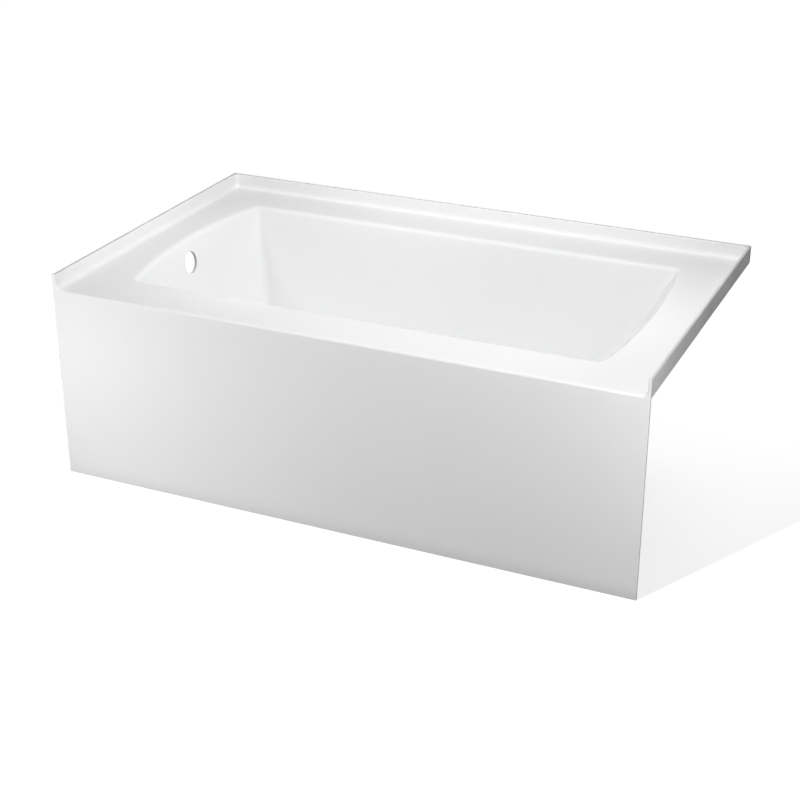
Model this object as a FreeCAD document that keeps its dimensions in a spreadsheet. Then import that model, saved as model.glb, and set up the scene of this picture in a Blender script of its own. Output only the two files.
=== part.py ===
# Alcove bathtub with a tile flange on three sides, a flat apron and levelling feet.
#
# Frame: +X along the tub, away from the drain; the apron faces -Y; +Z up.
# The origin is on the floor, under the middle of the tub.  Lengths in mm.
import FreeCAD, Part

import math
import os
import re

import Sketcher
from FreeCAD import Placement, Rotation, Vector

doc = FreeCAD.newDocument("alcove_bathtub")

# ---------------------------------------------------------------- sizes

SIZES = [
    # outside of the tub
    ("tub_length", 1524.0),
    ("tub_depth", 914.0),
    ("deck_height", 508.0),
    ("flange_rise", 39.0),
    ("flange_cove", 12.0),
    ("outer_edge_radius", 3.0),
    ("apron_gap", 1.0),
    ("front_edge_radius", 6.0),
    # the two layers of the shell
    ("acrylic_thick", 3.5),
    ("laminate_thick", 5.0),
    # opening of the basin, measured to where the lip starts to roll over
    ("rim_front", 128.0),
    ("rim_back", 132.0),
    ("rim_end", 142.0),
    ("drain_end_bow_top", 45.0),
    ("drain_end_bow_floor", 25.0),
    ("backrest_bow_top", 26.0),
    ("backrest_bow_floor", 16.0),
    ("lip_radius", 12.0),
    # inside of the basin
    ("floor_level", 128.0),
    ("drain_end_tilt", 7.0),
    ("backrest_tilt", 30.0),
    ("side_tilt", 8.0),
    ("corner_top", 12.0),
    ("corner_low", 34.0),
    ("corner_floor", 60.0),
    ("floor_blend", 50.0),
    # holes for the waste and the overflow
    ("drain_from_end", 315.0),
    ("drain_bore", 52.0),
    ("overflow_drop", 65.0),
    ("overflow_bore", 60.0),
    # plywood board under the basin floor
    ("board_thick", 15.0),
    ("board_from_drain", 70.0),
    ("board_from_end", 409.0),
    ("board_from_side", 237.0),
    # wooden battens, laid under the rim and behind the apron
    ("batten_thick", 19.0),
    ("batten_wide", 50.0),
    ("batten_edge", 27.0),
    ("stiffener_thick", 15.0),
    ("stiffener_wide", 60.0),
    ("stiffener_from_end", 312.0),
    ("kick_batten_high", 40.0),
    ("kick_batten_lift", 12.0),
    # square steel rails across the tub
    ("rail_size", 30.0),
    ("rail_wall", 1.5),
    ("rail_from_side", 67.0),
    ("rail_from_board_end", 85.0),
    ("cap_thick", 2.5),
    ("cap_plug", 10.0),
    # screws into wood
    ("screw_shank", 5.0),
    ("screw_head", 10.0),
    ("screw_head_high", 3.0),
    ("screw_bite", 11.0),
    ("screw_from_edge", 60.0),
    ("kick_screw_bite", 15.0),
    # angle brackets between the rails and the apron
    ("bracket_thick", 2.0),
    ("bracket_lap", 32.5),
    ("bracket_grip", 26.5),
    ("bracket_screw_pitch", 16.0),
    # levelling feet, thread M12
    ("foot_from_rail_end", 60.0),
    ("thread_size", 12.0),
    ("thread_clearance", 0.05),
    ("running_gap", 0.3),
    ("stem_top_gap", 6.5),
    ("nut_flats", 19.0),
    ("nut_high", 10.0),
    ("washer_size", 24.0),
    ("washer_thick", 2.5),
    ("stem_slack", 0.5),
    ("collar_flats", 17.0),
    ("collar_high", 8.0),
    ("pad_size", 55.0),
    ("pad_edge", 5.0),
    ("pad_hub", 26.0),
    ("pad_high", 17.7),
    ("pivot_size", 10.0),
    ("pivot_depth", 11.0),
]

# Cells worked out from the ones above, in the order that they need each other.
DERIVED = [
    ("shell_thick", "acrylic_thick + laminate_thick"),
    ("deck_under", "deck_height - shell_thick"),
    ("basin_depth", "deck_height - floor_level"),
    ("overflow_height", "deck_height - overflow_drop"),
    ("board_top", "floor_level - shell_thick"),
    ("rail_top", "board_top - board_thick"),
    ("rail_bottom", "rail_top - rail_size"),
    ("apron_inside", "-tub_depth / 2 + shell_thick"),
    ("drain_x", "-tub_length / 2 + drain_from_end"),
    ("board_left", "drain_x + board_from_drain"),
    ("board_length", "tub_length / 2 - board_from_end - board_left"),
    ("board_depth", "tub_depth - board_from_side * 2"),
    ("screw_spacing", "board_depth / 2 - screw_from_edge"),
    ("stiffener_spacing", "tub_length / 2 - stiffener_from_end"),
    ("rail_length", "tub_depth - rail_from_side * 2"),
    ("rail_spacing", "board_length - rail_from_board_end * 2"),
    ("rail_middle", "board_left + board_length / 2"),
    ("foot_spacing", "rail_length - foot_from_rail_end * 2"),
    ("washer_top", "rail_bottom - running_gap"),
    ("nut_top", "washer_top - washer_thick - running_gap"),
    ("collar_bottom", "pad_high + running_gap"),
    ("stem_top", "rail_top - rail_wall - stem_top_gap"),
    ("kick_batten_top", "apron_gap + kick_batten_lift + kick_batten_high"),
    ("kick_batten_back", "apron_inside + batten_thick"),
    ("bracket_reach", "bracket_lap - rail_length / 2 - kick_batten_back"),
    ("bracket_drop", "rail_bottom - kick_batten_top + bracket_grip"),
    ("bracket_screw_level", "kick_batten_top - bracket_grip + screw_head"),
    ("basin_middle", "(rim_front - rim_back) / 2"),
    ("rim_batten_under", "deck_under - batten_thick"),
]


def make_sheet():
    """Write every driving size, then every worked-out size, with its alias."""
    new_sheet = doc.addObject("Spreadsheet::Sheet", "Sizes")
    rows = [(name, str(value)) for name, value in SIZES]
    rows += [(name, "=" + formula) for name, formula in DERIVED]
    for row, (name, content) in enumerate(rows, start=1):
        new_sheet.set("A%d" % row, name)
        new_sheet.set("B%d" % row, content)
        new_sheet.setAlias("B%d" % row, name)
    doc.recompute()
    return new_sheet


sheet = make_sheet()
ALIASES = [name for name, _ in SIZES + DERIVED]


def size(name):
    """The value of one cell, as a plain number."""
    return float(getattr(sheet, name))


def cells(formula):
    """A formula in cell names, with the sheet's own name put before each."""
    def full_name(match):
        word = match.group(0)
        return "Sizes." + word if word in ALIASES else word
    return re.sub(r"[a-z][a-z_]+", full_name, str(formula))


def bind(thing, **formulas):
    """Tie properties to formulas; base_x, base_y and base_z place the object."""
    for prop, formula in formulas.items():
        if prop.startswith("base_"):
            prop = ".Placement.Base." + prop[-1]
        thing.setExpression(prop, cells(formula))


def value_of(formula):
    """A formula's value now, to draw a sketch where its constraints will hold it."""
    names = {name: size(name) for name in re.findall(r"[a-z][a-z_]+", str(formula))
             if name in ALIASES}
    total = str(formula)
    for name in sorted(names, key=len, reverse=True):
        total = re.sub(r"\b%s\b" % name, "(%r)" % names[name], total)
    return float(FreeCAD.Units.Quantity(total).Value)


# ---------------------------------------------------------------- sketch helpers

def origin_plane(body, role):
    """The body's own origin plane with this role."""
    for feature in body.Origin.OriginFeatures:
        if feature.Role == role:
            return feature
    raise RuntimeError("no plane " + role)


def new_body(name, **place):
    """A body whose label is the sub-part's name."""
    body = doc.addObject("PartDesign::Body", name)
    body.Label = name
    bind(body, **place)
    return body


def new_sketch(body, name, role="XY_Plane", lift="0"):
    """A sketch on one of the body's planes, moved along the plane's normal."""
    sketch = body.newObject("Sketcher::SketchObject", body.Name + "_" + name)
    sketch.AttachmentSupport = [(origin_plane(body, role), "")]
    sketch.MapMode = "FlatFace"
    sketch.setExpression(".AttachmentOffset.Base.z", cells(lift))
    return sketch


def draw_polygon(sketch, corners):
    """A closed polygon; each corner is two formulas, across and up the sketch."""
    points = [Vector(value_of(across), value_of(up), 0) for across, up in corners]
    first = sketch.GeometryCount
    count = len(points)
    for index, point in enumerate(points):
        sketch.addGeometry(Part.LineSegment(point, points[(index + 1) % count]), False)
    for index in range(count):
        line = first + index
        following = first + (index + 1) % count
        sketch.addConstraint(Sketcher.Constraint("Coincident", line, 2, following, 1))
    for index, corner in enumerate(corners):
        for kind, formula in zip(("DistanceX", "DistanceY"), corner):
            start = value_of(formula)
            number = sketch.addConstraint(
                Sketcher.Constraint(kind, -1, 1, first + index, 1, start))
            sketch.setExpression("Constraints[%d]" % number, cells(formula))


def draw_rectangle(sketch, left, right, low, high):
    """A rectangle between two formulas across and two up."""
    draw_polygon(sketch, [(left, low), (right, low), (right, high), (left, high)])


def draw_hexagon(sketch, flats):
    """A hexagon about the sketch's origin, its flats facing up and down."""
    reach = flats + " / sqrt(3)"
    half = flats + " / sqrt(12)"
    up = flats + " / 2"
    draw_polygon(sketch, [(reach, "0"), (half, up), ("-" + half, up),
                          ("-" + reach, "0"), ("-" + half, "-" + up), (half, "-" + up)])


def draw_circle(sketch, diameter, across="0", up="0"):
    """A circle, held by its centre and its diameter."""
    centre = Vector(value_of(across), value_of(up), 0)
    circle = sketch.addGeometry(
        Part.Circle(centre, Vector(0, 0, 1), value_of(diameter) / 2), False)
    held = [("DistanceX", across), ("DistanceY", up)]
    for kind, formula in held:
        number = sketch.addConstraint(
            Sketcher.Constraint(kind, -1, 1, circle, 3, value_of(formula)))
        sketch.setExpression("Constraints[%d]" % number, cells(formula))
    number = sketch.addConstraint(
        Sketcher.Constraint("Diameter", circle, value_of(diameter)))
    sketch.setExpression("Constraints[%d]" % number, cells(diameter))


def pad(body, sketch, length, midplane=False, reverse=False):
    """Pad a sketch by a formula."""
    feature = body.newObject("PartDesign::Pad", sketch.Name + "_pad")
    feature.Profile = sketch
    feature.Midplane = midplane
    feature.Reversed = reverse
    bind(feature, Length=length)
    sketch.Visibility = False
    doc.recompute()
    return feature


def pocket(body, sketch, length, reverse=False):
    """Pocket a sketch by a formula, and make sure that it cut something."""
    before = body.Shape.Volume
    feature = body.newObject("PartDesign::Pocket", sketch.Name + "_pocket")
    feature.Profile = sketch
    feature.Reversed = reverse
    bind(feature, Length=length)
    doc.recompute()
    if body.Shape.Volume >= before:
        raise RuntimeError(feature.Name + " cut nothing")
    return feature


def revolve(body, sketch):
    """Revolve a profile on the XZ plane about the body's Z axis."""
    feature = body.newObject("PartDesign::Revolution", sketch.Name + "_revolution")
    feature.Profile = sketch
    feature.ReferenceAxis = (sketch, ["V_Axis"])
    feature.Angle = 360.0
    doc.recompute()
    return feature


# ---------------------------------------------------------------- the basin's surface

LIP_BANDS = 5
BLEND_BANDS = 6
# How far a space that is cut away reaches past the face that it opens.
CUT_PAST = 5.0
# Places closer than this are the same, and a rounding smaller than this is left out.
SAME_PLACE = 0.05


def wall_inset(level, tilt, offset):
    """How far a wall stands in from the start of the lip, at one level.

    The profile is the lip's arc, the tilted wall and the blend into the floor.
    offset is the distance behind the visible face: 0 is that face itself.
    """
    slope = math.radians(tilt)
    lip = size("lip_radius") - offset
    lip_centre = size("deck_height") - size("lip_radius")
    if level >= lip_centre + lip * math.sin(slope):
        rise = min(level - lip_centre, lip)
        return math.sqrt(lip * lip - rise * rise)
    blend = size("floor_blend") + offset
    blend_centre = size("floor_level") + size("floor_blend")
    if level >= blend_centre - blend * math.sin(slope):
        return (lip_centre - level) * math.tan(slope) + lip / math.cos(slope)
    centre_inset = ((lip_centre - blend_centre) * math.tan(slope)
                    + (lip + blend) / math.cos(slope))
    drop = min(blend_centre - level, blend)
    return centre_inset - math.sqrt(blend * blend - drop * drop)


def between(start, finish, share):
    """A value a share of the way from start to finish."""
    return start + (finish - start) * share


def corner_radius(level, offset):
    """The plan radius of the basin's upright corners, which grows downwards."""
    top = size("deck_height") - size("lip_radius")
    low = size("floor_level") + size("floor_blend")
    if level >= top:
        return size("corner_top") + offset
    if level >= low:
        share = (top - level) / (top - low)
        return between(size("corner_top"), size("corner_low"), share) + offset
    share = min((low - level) / size("floor_blend"), 1.0)
    return between(size("corner_low"), size("corner_floor"), share ** 2) + offset


def end_bow(end, level):
    """How far one end of the basin bows outwards in plan, at one level."""
    share = (size("deck_height") - level) / size("basin_depth")
    share = max(0.0, min(share, 1.0))
    return between(size(end + "_bow_top"), size(end + "_bow_floor"), share)


def basin_outline(level, offset, height=None):
    """A closed wire round the basin at one level: two sides and two bowed ends."""
    side = wall_inset(level, size("side_tilt"), offset)
    front = -size("tub_depth") / 2 + size("rim_front") + side
    back = size("tub_depth") / 2 - size("rim_back") - side
    half = size("tub_length") / 2 - size("rim_end")
    drain = half - wall_inset(level, size("drain_end_tilt"), offset)
    backrest = half - wall_inset(level, size("backrest_tilt"), offset)
    radius = corner_radius(level, offset)
    middle = (front + back) / 2
    span = (back - front) / 2
    at = level if height is None else height

    def end_points(reach, bow):
        """Corner tangent points and mid points of one end, from front to back."""
        arc = (span * span + bow * bow) / (2 * bow)
        centre = reach + bow - arc
        along = math.sqrt((arc - radius) ** 2 - (span - radius) ** 2)
        turn = math.atan2(span - radius, along)
        touch = (centre + arc * math.cos(turn), arc * math.sin(turn))
        swing = (math.pi / 2 + turn) / 2
        bulge = (centre + along + radius * math.cos(swing),
                 span - radius + radius * math.sin(swing))
        return centre + along, bulge, touch, centre + arc

    def point(across, up, sign):
        """A point of the outline, mirrored to the drain end by sign."""
        return Vector(sign * across, middle + up, at)

    flat_r, bulge_r, touch_r, apex_r = end_points(backrest, end_bow("backrest", level))
    flat_l, bulge_l, touch_l, apex_l = end_points(drain, end_bow("drain_end", level))
    edges = [
        Part.LineSegment(point(flat_l, -span, -1), point(flat_r, -span, 1)),
        Part.Arc(point(flat_r, -span, 1), point(bulge_r[0], -bulge_r[1], 1),
                 point(touch_r[0], -touch_r[1], 1)),
        Part.Arc(point(touch_r[0], -touch_r[1], 1), point(apex_r, 0, 1),
                 point(touch_r[0], touch_r[1], 1)),
        Part.Arc(point(touch_r[0], touch_r[1], 1), point(bulge_r[0], bulge_r[1], 1),
                 point(flat_r, span, 1)),
        Part.LineSegment(point(flat_r, span, 1), point(flat_l, span, -1)),
        Part.Arc(point(flat_l, span, -1), point(bulge_l[0], bulge_l[1], -1),
                 point(touch_l[0], touch_l[1], -1)),
        Part.Arc(point(touch_l[0], touch_l[1], -1), point(apex_l, 0, -1),
                 point(touch_l[0], -touch_l[1], -1)),
        Part.Arc(point(touch_l[0], -touch_l[1], -1), point(bulge_l[0], -bulge_l[1], -1),
                 point(flat_l, -span, -1)),
    ]
    return Part.Wire([edge.toShape() for edge in edges])


def basin_levels(offset):
    """The levels of the outlines, from the deck down to the floor."""
    lip_centre = size("deck_height") - size("lip_radius")
    lip = size("lip_radius") - offset
    blend_centre = size("floor_level") + size("floor_blend")
    blend = size("floor_blend") + offset
    levels = []
    for step in range(LIP_BANDS + 1):
        levels.append(lip_centre + lip * math.cos(math.pi / 2 * step / LIP_BANDS))
    for step in range(BLEND_BANDS + 1):
        levels.append(blend_centre - blend * math.sin(math.pi / 2 * step / BLEND_BANDS))
    return levels


def basin_space(name, offset):
    """The space of the basin as a solid, its face set back by offset."""
    levels = basin_levels(offset)
    above = levels[0] + CUT_PAST
    outlines = [basin_outline(levels[0], offset, above)]
    outlines += [basin_outline(level, offset) for level in levels]
    space = doc.addObject("Part::Feature", name)
    space.Shape = Part.makeLoft(outlines, True, True)
    return space


# ---------------------------------------------------------------- the shell's two layers

def find_edges(shape, test):
    """Numbers of the edges whose middle and direction pass the test."""
    found = []
    for number, edge in enumerate(shape.Edges, start=1):
        start, finish = edge.Vertexes[0].Point, edge.Vertexes[-1].Point
        if test((start + finish) * 0.5, finish - start):
            found.append(number)
    return found


def rim_space(name, offset, cove_radius):
    """The space over the deck, inside the tile flange, with its coves."""
    body = new_body(name)
    inside = "tub_length / 2 - shell_thick + %s" % offset
    sketch = new_sketch(body, "plan", lift="deck_height - %s" % offset)
    draw_rectangle(sketch, "-(%s)" % inside, inside, "-tub_depth",
                   "tub_depth / 2 - shell_thick + %s" % offset)
    block = pad(body, sketch, "flange_rise * 2 + %s" % offset)
    floor = value_of("deck_height - %s" % offset)

    def is_cove(middle, run):
        """The deck's three edges at the flange, and the flange's two inner corners."""
        off_front = middle.y > -size("tub_depth") + SAME_PLACE
        lies_low = abs(middle.z - floor) < SAME_PLACE and off_front
        stands_at_back = abs(run.z) > SAME_PLACE and middle.y > 0
        return lies_low or stands_at_back

    cove = body.newObject("PartDesign::Fillet", name + "_coves")
    cove.Base = (block, ["Edge%d" % number for number in find_edges(block.Shape, is_cove)])
    bind(cove, Radius=cove_radius)
    doc.recompute()
    return body


def tub_form(name, offset, cove_radius):
    """All that lies behind a face of the shell: the envelope less both spaces.

    cove_radius rounds the face where the deck turns up into the flange.
    """
    block = doc.addObject("Part::Box", name + "_block")
    bind(block, Length="tub_length", Width="tub_depth - %s" % offset,
         Height="deck_height + flange_rise - apron_gap", base_x="-tub_length / 2",
         base_y="-tub_depth / 2 + %s" % offset, base_z="apron_gap")
    over_deck = doc.addObject("Part::Cut", name + "_rim")
    over_deck.Base = block
    over_deck.Tool = rim_space(name + "_rim_space", offset, cove_radius)
    doc.recompute()
    edge_radius = size("front_edge_radius") - value_of(offset)
    if edge_radius > SAME_PLACE:
        over_deck = round_front(name + "_front", over_deck, offset, edge_radius)
    form = doc.addObject("Part::Cut", name)
    form.Base = over_deck
    form.Tool = basin_space(name + "_basin_space", value_of(offset))
    doc.recompute()
    return form


def round_front(name, base, offset, radius):
    """Round the edge between the deck and the apron."""
    front = value_of("-tub_depth / 2 + %s" % offset)
    deck = value_of("deck_height - %s" % offset)

    def is_front_edge(middle, run):
        """The long edge along the front of the deck."""
        at_front = (abs(middle.y - front) < SAME_PLACE
                    and abs(middle.z - deck) < SAME_PLACE)
        return at_front and abs(run.x) > size("tub_length") / 2

    rounded = doc.addObject("Part::Fillet", name)
    rounded.Base = base
    rounded.Edges = [(number, radius, radius)
                     for number in find_edges(base.Shape, is_front_edge)]
    doc.recompute()
    return rounded


def waste_holes():
    """Cylinders through the shell at the drain, and square to the wall at the overflow."""
    drain = doc.addObject("Part::Cylinder", "drain_drill")
    bind(drain, Radius="drain_bore / 2", Height="shell_thick * 4", base_x="drain_x",
         base_y="basin_middle", base_z="floor_level - shell_thick * 2")
    level, tilt = size("overflow_height"), size("drain_end_tilt")
    reach = (size("tub_length") / 2 - size("rim_end") + end_bow("drain_end", level)
             - wall_inset(level, tilt, 0.0))
    overflow = doc.addObject("Part::Cylinder", "overflow_drill")
    bind(overflow, Radius="overflow_bore / 2", Height="shell_thick * 6")
    turn = Rotation(Vector(0, 1, 0), 90 - tilt)
    centre = Vector(-reach, size("basin_middle"), level)
    start = turn.multVec(Vector(0, 0, -size("shell_thick") * 3))
    overflow.Placement = Placement(centre + start, turn)
    both = doc.addObject("Part::MultiFuse", "waste_drills")
    both.Shapes = [drain, overflow]
    doc.recompute()
    print("overflow hole: centre", centre, "axis", turn.multVec(Vector(0, 0, 1)))
    return both


def shell_layer(name, front_form, back_form, drills):
    """One layer of the shell: what lies between two faces, with its holes."""
    layer = doc.addObject("Part::Cut", name + "_layer")
    layer.Base = front_form
    layer.Tool = back_form
    drilled = doc.addObject("Part::Cut", name)
    drilled.Label = name
    drilled.Base = layer
    drilled.Tool = drills
    doc.recompute()
    return drilled


# ---------------------------------------------------------------- wood

def wooden_bar(name, length, width, height, left, front, low):
    """A plain sawn bar, given by its three sizes and its lowest corner."""
    bar = doc.addObject("Part::Box", name)
    bar.Label = name
    bind(bar, Length=length, Width=width, Height=height,
         base_x=left, base_y=front, base_z=low)
    return bar


def rim_battens():
    """Battens glassed under the deck, one for each side of the rim."""
    long_run = "tub_length - batten_edge * 2 - batten_wide * 2"
    left = "-tub_length / 2 + batten_edge"
    end_front = "apron_inside"
    end_run = "tub_depth - shell_thick - batten_edge"
    return [
        wooden_bar("front_rim_batten", long_run, "batten_wide", "batten_thick",
                   left + " + batten_wide", "apron_inside", "rim_batten_under"),
        wooden_bar("back_rim_batten", long_run, "batten_wide", "batten_thick",
                   left + " + batten_wide", "tub_depth / 2 - batten_edge - batten_wide",
                   "rim_batten_under"),
        wooden_bar("drain_end_batten", "batten_wide", end_run, "batten_thick",
                   left, end_front, "rim_batten_under"),
        wooden_bar("backrest_end_batten", "batten_wide", end_run, "batten_thick",
                   "tub_length / 2 - batten_edge - batten_wide", end_front,
                   "rim_batten_under"),
    ]


def apron_woodwork():
    """Upright stiffeners and a kick batten glassed to the back of the apron."""
    bars = []
    places = [("drain_end_stiffener", -1), ("middle_stiffener", 0),
              ("backrest_end_stiffener", 1)]
    for name, step in places:
        bars.append(wooden_bar(
            name, "stiffener_wide", "stiffener_thick", "rim_batten_under - kick_batten_top",
            "%d * stiffener_spacing - stiffener_wide / 2" % step, "apron_inside",
            "kick_batten_top"))
    return bars


def kick_batten():
    """The batten along the foot of the apron, with pilot holes for the brackets."""
    body = new_body("apron_kick_batten", base_y="kick_batten_back")
    front = new_sketch(body, "front", role="XZ_Plane")
    draw_rectangle(front, "-tub_length / 2 + batten_edge", "tub_length / 2 - batten_edge",
                   "apron_gap + kick_batten_lift", "kick_batten_top")
    pad(body, front, "batten_thick")
    holes = new_sketch(body, "pilot_holes", role="XZ_Plane")
    for _, side in RAIL_SIDES:
        for hand in (-1, 1):
            draw_circle(holes, "screw_shank",
                        rail_x(side) + " + %d * bracket_screw_pitch / 2" % hand,
                        "bracket_screw_level")
    pocket(body, holes, "kick_screw_bite", reverse=True)
    return body


SCREW_STEPS = (-1, 0, 1)
RAIL_SIDES = (("drain", -1), ("backrest", 1))
RAIL_ENDS = (("front", -1), ("back", 1))


def rail_x(side):
    """The formula for a rail's place along the tub."""
    return "rail_middle + %d * rail_spacing / 2" % side


def bottom_board():
    """The plywood board under the basin floor, with pilot holes for the screws."""
    body = new_body("bottom_board", base_z="rail_top")
    plan = new_sketch(body, "plan")
    draw_rectangle(plan, "board_left", "board_left + board_length",
                   "-board_depth / 2", "board_depth / 2")
    pad(body, plan, "board_thick")
    holes = new_sketch(body, "pilot_holes")
    for _, side in RAIL_SIDES:
        for step in SCREW_STEPS:
            draw_circle(holes, "screw_shank", rail_x(side), "%d * screw_spacing" % step)
    pocket(body, holes, "screw_bite", reverse=True)
    return body


# ---------------------------------------------------------------- steel rails

def cross_rail(name, side):
    """A square tube across the tub, drilled for its screws and its two feet."""
    body = new_body(name, base_x=rail_x(side), base_z="rail_bottom")
    section = new_sketch(body, "section", role="XZ_Plane")
    draw_rectangle(section, "-rail_size / 2", "rail_size / 2", "0", "rail_size")
    draw_rectangle(section, "-rail_size / 2 + rail_wall", "rail_size / 2 - rail_wall",
                   "rail_wall", "rail_size - rail_wall")
    pad(body, section, "rail_length", midplane=True)
    stems = new_sketch(body, "stem_holes")
    for end in (-1, 1):
        draw_circle(stems, "thread_size + stem_slack", "0",
                    "%d * foot_spacing / 2" % end)
    draw_circle(stems, "screw_shank", "0", "-rail_length / 2 + bracket_lap / 2")
    pocket(body, stems, "rail_wall", reverse=True)
    screws = new_sketch(body, "screw_holes")
    for step in SCREW_STEPS:
        draw_circle(screws, "screw_shank", "0", "%d * screw_spacing" % step)
    pocket(body, screws, "rail_size", reverse=True)
    return body


def rail_caps():
    """Plastic caps plugged into the four ends of the rails."""
    caps = []
    for side_name, side in RAIL_SIDES:
        for end_name, end in RAIL_ENDS:
            name = "%s_%s_cap" % (end_name, side_name)
            plate = doc.addObject("Part::Box", name + "_plate")
            bind(plate, Length="rail_size", Width="cap_thick", Height="rail_size",
                 base_x="-rail_size / 2", base_y="rail_length / 2",
                 base_z="rail_bottom")
            plug = doc.addObject("Part::Box", name + "_plug")
            bind(plug, Length="rail_size - rail_wall * 2", Width="cap_plug",
                 Height="rail_size - rail_wall * 2", base_x="-rail_size / 2 + rail_wall",
                 base_y="rail_length / 2 - cap_plug", base_z="rail_bottom + rail_wall")
            cap = doc.addObject("Part::MultiFuse", name)
            cap.Shapes = [plate, plug]
            turn = 0 if end > 0 else 180
            cap.Placement = Placement(Vector(0, 0, 0), Rotation(Vector(0, 0, 1), turn))
            bind(cap, base_x=rail_x(side))
            caps.append(cap)
    return group("rail_caps", caps)


def group(name, members):
    """Identical small pieces kept together as one sub-part."""
    together = doc.addObject("Part::Compound", name)
    together.Label = name
    together.Links = members
    doc.recompute()
    return together


# ---------------------------------------------------------------- screws

UPWARDS = Rotation()
FORWARDS = Rotation(Vector(1, 0, 0), 90)


def screw(name, length, turn, base_x, base_y, base_z):
    """A screw: its head's flat underside is at its base, its shank goes along the turn."""
    head = doc.addObject("Part::Cylinder", name + "_head")
    bind(head, Radius="screw_head / 2", Height="screw_head_high",
         base_z="-screw_head_high")
    shank = doc.addObject("Part::Cylinder", name + "_shank")
    bind(shank, Radius="screw_shank / 2", Height="%s - screw_shank" % length)
    point = doc.addObject("Part::Cone", name + "_point")
    bind(point, Radius1="screw_shank / 2", Radius2="screw_shank / 10",
         Height="screw_shank", base_z="%s - screw_shank" % length)
    whole = doc.addObject("Part::MultiFuse", name)
    whole.Shapes = [head, shank, point]
    whole.Placement = Placement(Vector(0, 0, 0), turn)
    bind(whole, base_x=base_x, base_y=base_y, base_z=base_z)
    return whole


def rail_screws():
    """Screws up through both walls of each rail into the board."""
    screws = []
    for side_name, side in RAIL_SIDES:
        for number, step in enumerate(SCREW_STEPS, start=1):
            screws.append(screw(
                "%s_rail_screw_%d" % (side_name, number), "rail_size + screw_bite",
                UPWARDS, rail_x(side), "%d * screw_spacing" % step, "rail_bottom"))
    return group("rail_screws", screws)


def bracket_screws():
    """Screws of the two angle brackets: two into the wood and one into the rail."""
    wood = []
    metal = []
    for side_name, side in RAIL_SIDES:
        for hand in (-1, 1):
            wood.append(screw(
                "%s_wood_screw_%d" % (side_name, hand + 2),
                "bracket_thick + kick_screw_bite", FORWARDS,
                rail_x(side) + " + %d * bracket_screw_pitch / 2" % hand,
                "kick_batten_back + bracket_thick", "bracket_screw_level"))
        metal.append(screw(
            "%s_metal_screw" % side_name, "bracket_thick + rail_wall + screw_head",
            UPWARDS, rail_x(side), "-rail_length / 2 + bracket_lap / 2",
            "rail_bottom - bracket_thick"))
    return group("bracket_wood_screws", wood), group("bracket_rail_screws", metal)


def apron_bracket(name, side):
    """A steel angle: one leg under the rail's end, one on the kick batten."""
    body = new_body(name, base_x=rail_x(side), base_y="kick_batten_back",
                    base_z="rail_bottom")
    profile = new_sketch(body, "profile", role="YZ_Plane")
    draw_polygon(profile, [
        ("0", "0"), ("0", "-bracket_drop"), ("bracket_thick", "-bracket_drop"),
        ("bracket_thick", "-bracket_thick"), ("bracket_reach", "-bracket_thick"),
        ("bracket_reach", "0")])
    pad(body, profile, "rail_size", midplane=True)
    rail_hole = new_sketch(body, "rail_hole", lift="-bracket_thick")
    draw_circle(rail_hole, "screw_shank", "0", "bracket_reach - bracket_lap / 2")
    pocket(body, rail_hole, "bracket_thick", reverse=True)
    wood_holes = new_sketch(body, "wood_holes", role="XZ_Plane")
    for hand in (-1, 1):
        draw_circle(wood_holes, "screw_shank", "%d * bracket_screw_pitch / 2" % hand,
                    "bracket_screw_level - rail_bottom")
    pocket(body, wood_holes, "bracket_thick")
    return body


# ---------------------------------------------------------------- levelling feet

FEET = [(end_name + "_" + side_name, side, end)
        for side_name, side in RAIL_SIDES for end_name, end in RAIL_ENDS]


def foot_place(side, end):
    """The formulas for a foot's place on the floor."""
    return {"base_x": rail_x(side), "base_y": "%d * foot_spacing / 2" % end}


def hex_nut(name, low, side, end):
    """A hexagon nut with its bore."""
    body = new_body(name, base_z=low, **foot_place(side, end))
    plan = new_sketch(body, "plan")
    draw_hexagon(plan, "nut_flats")
    draw_circle(plan, "thread_size + thread_clearance * 2")
    pad(body, plan, "nut_high")
    return body


def foot_pad(name, side, end):
    """The plastic foot: a low cone with a socket for the stem's pivot."""
    body = new_body(name, **foot_place(side, end))
    profile = new_sketch(body, "profile", role="XZ_Plane")
    socket = "pivot_size / 2 + thread_clearance"
    draw_polygon(profile, [
        ("0", "0"), ("pad_size / 2", "0"), ("pad_size / 2", "pad_edge"),
        ("pad_hub / 2", "pad_edge * 2"), ("pad_hub / 2", "pad_high"),
        (socket, "pad_high"), (socket, "pad_high - pivot_depth"),
        ("0", "pad_high - pivot_depth")])
    revolve(body, profile)
    return body


def foot_stem(name, side, end):
    """The threaded stem, with a hexagon collar over the foot and a pivot in it."""
    body = new_body(name, base_z="collar_bottom", **foot_place(side, end))
    collar = new_sketch(body, "collar")
    draw_hexagon(collar, "collar_flats")
    pad(body, collar, "collar_high")
    shaft = new_sketch(body, "shaft")
    draw_circle(shaft, "thread_size")
    pad(body, shaft, "stem_top - collar_bottom")
    pivot = new_sketch(body, "pivot")
    draw_circle(pivot, "pivot_size")
    pad(body, pivot, "pivot_depth - running_gap * 2", reverse=True)
    return body


def washer(name, side, end):
    """A plain washer between the lock nut and the rail."""
    body = new_body(name, base_z="washer_top - washer_thick", **foot_place(side, end))
    plan = new_sketch(body, "plan")
    draw_circle(plan, "washer_size")
    draw_circle(plan, "thread_size + stem_slack * 2")
    pad(body, plan, "washer_thick")
    return body


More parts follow.
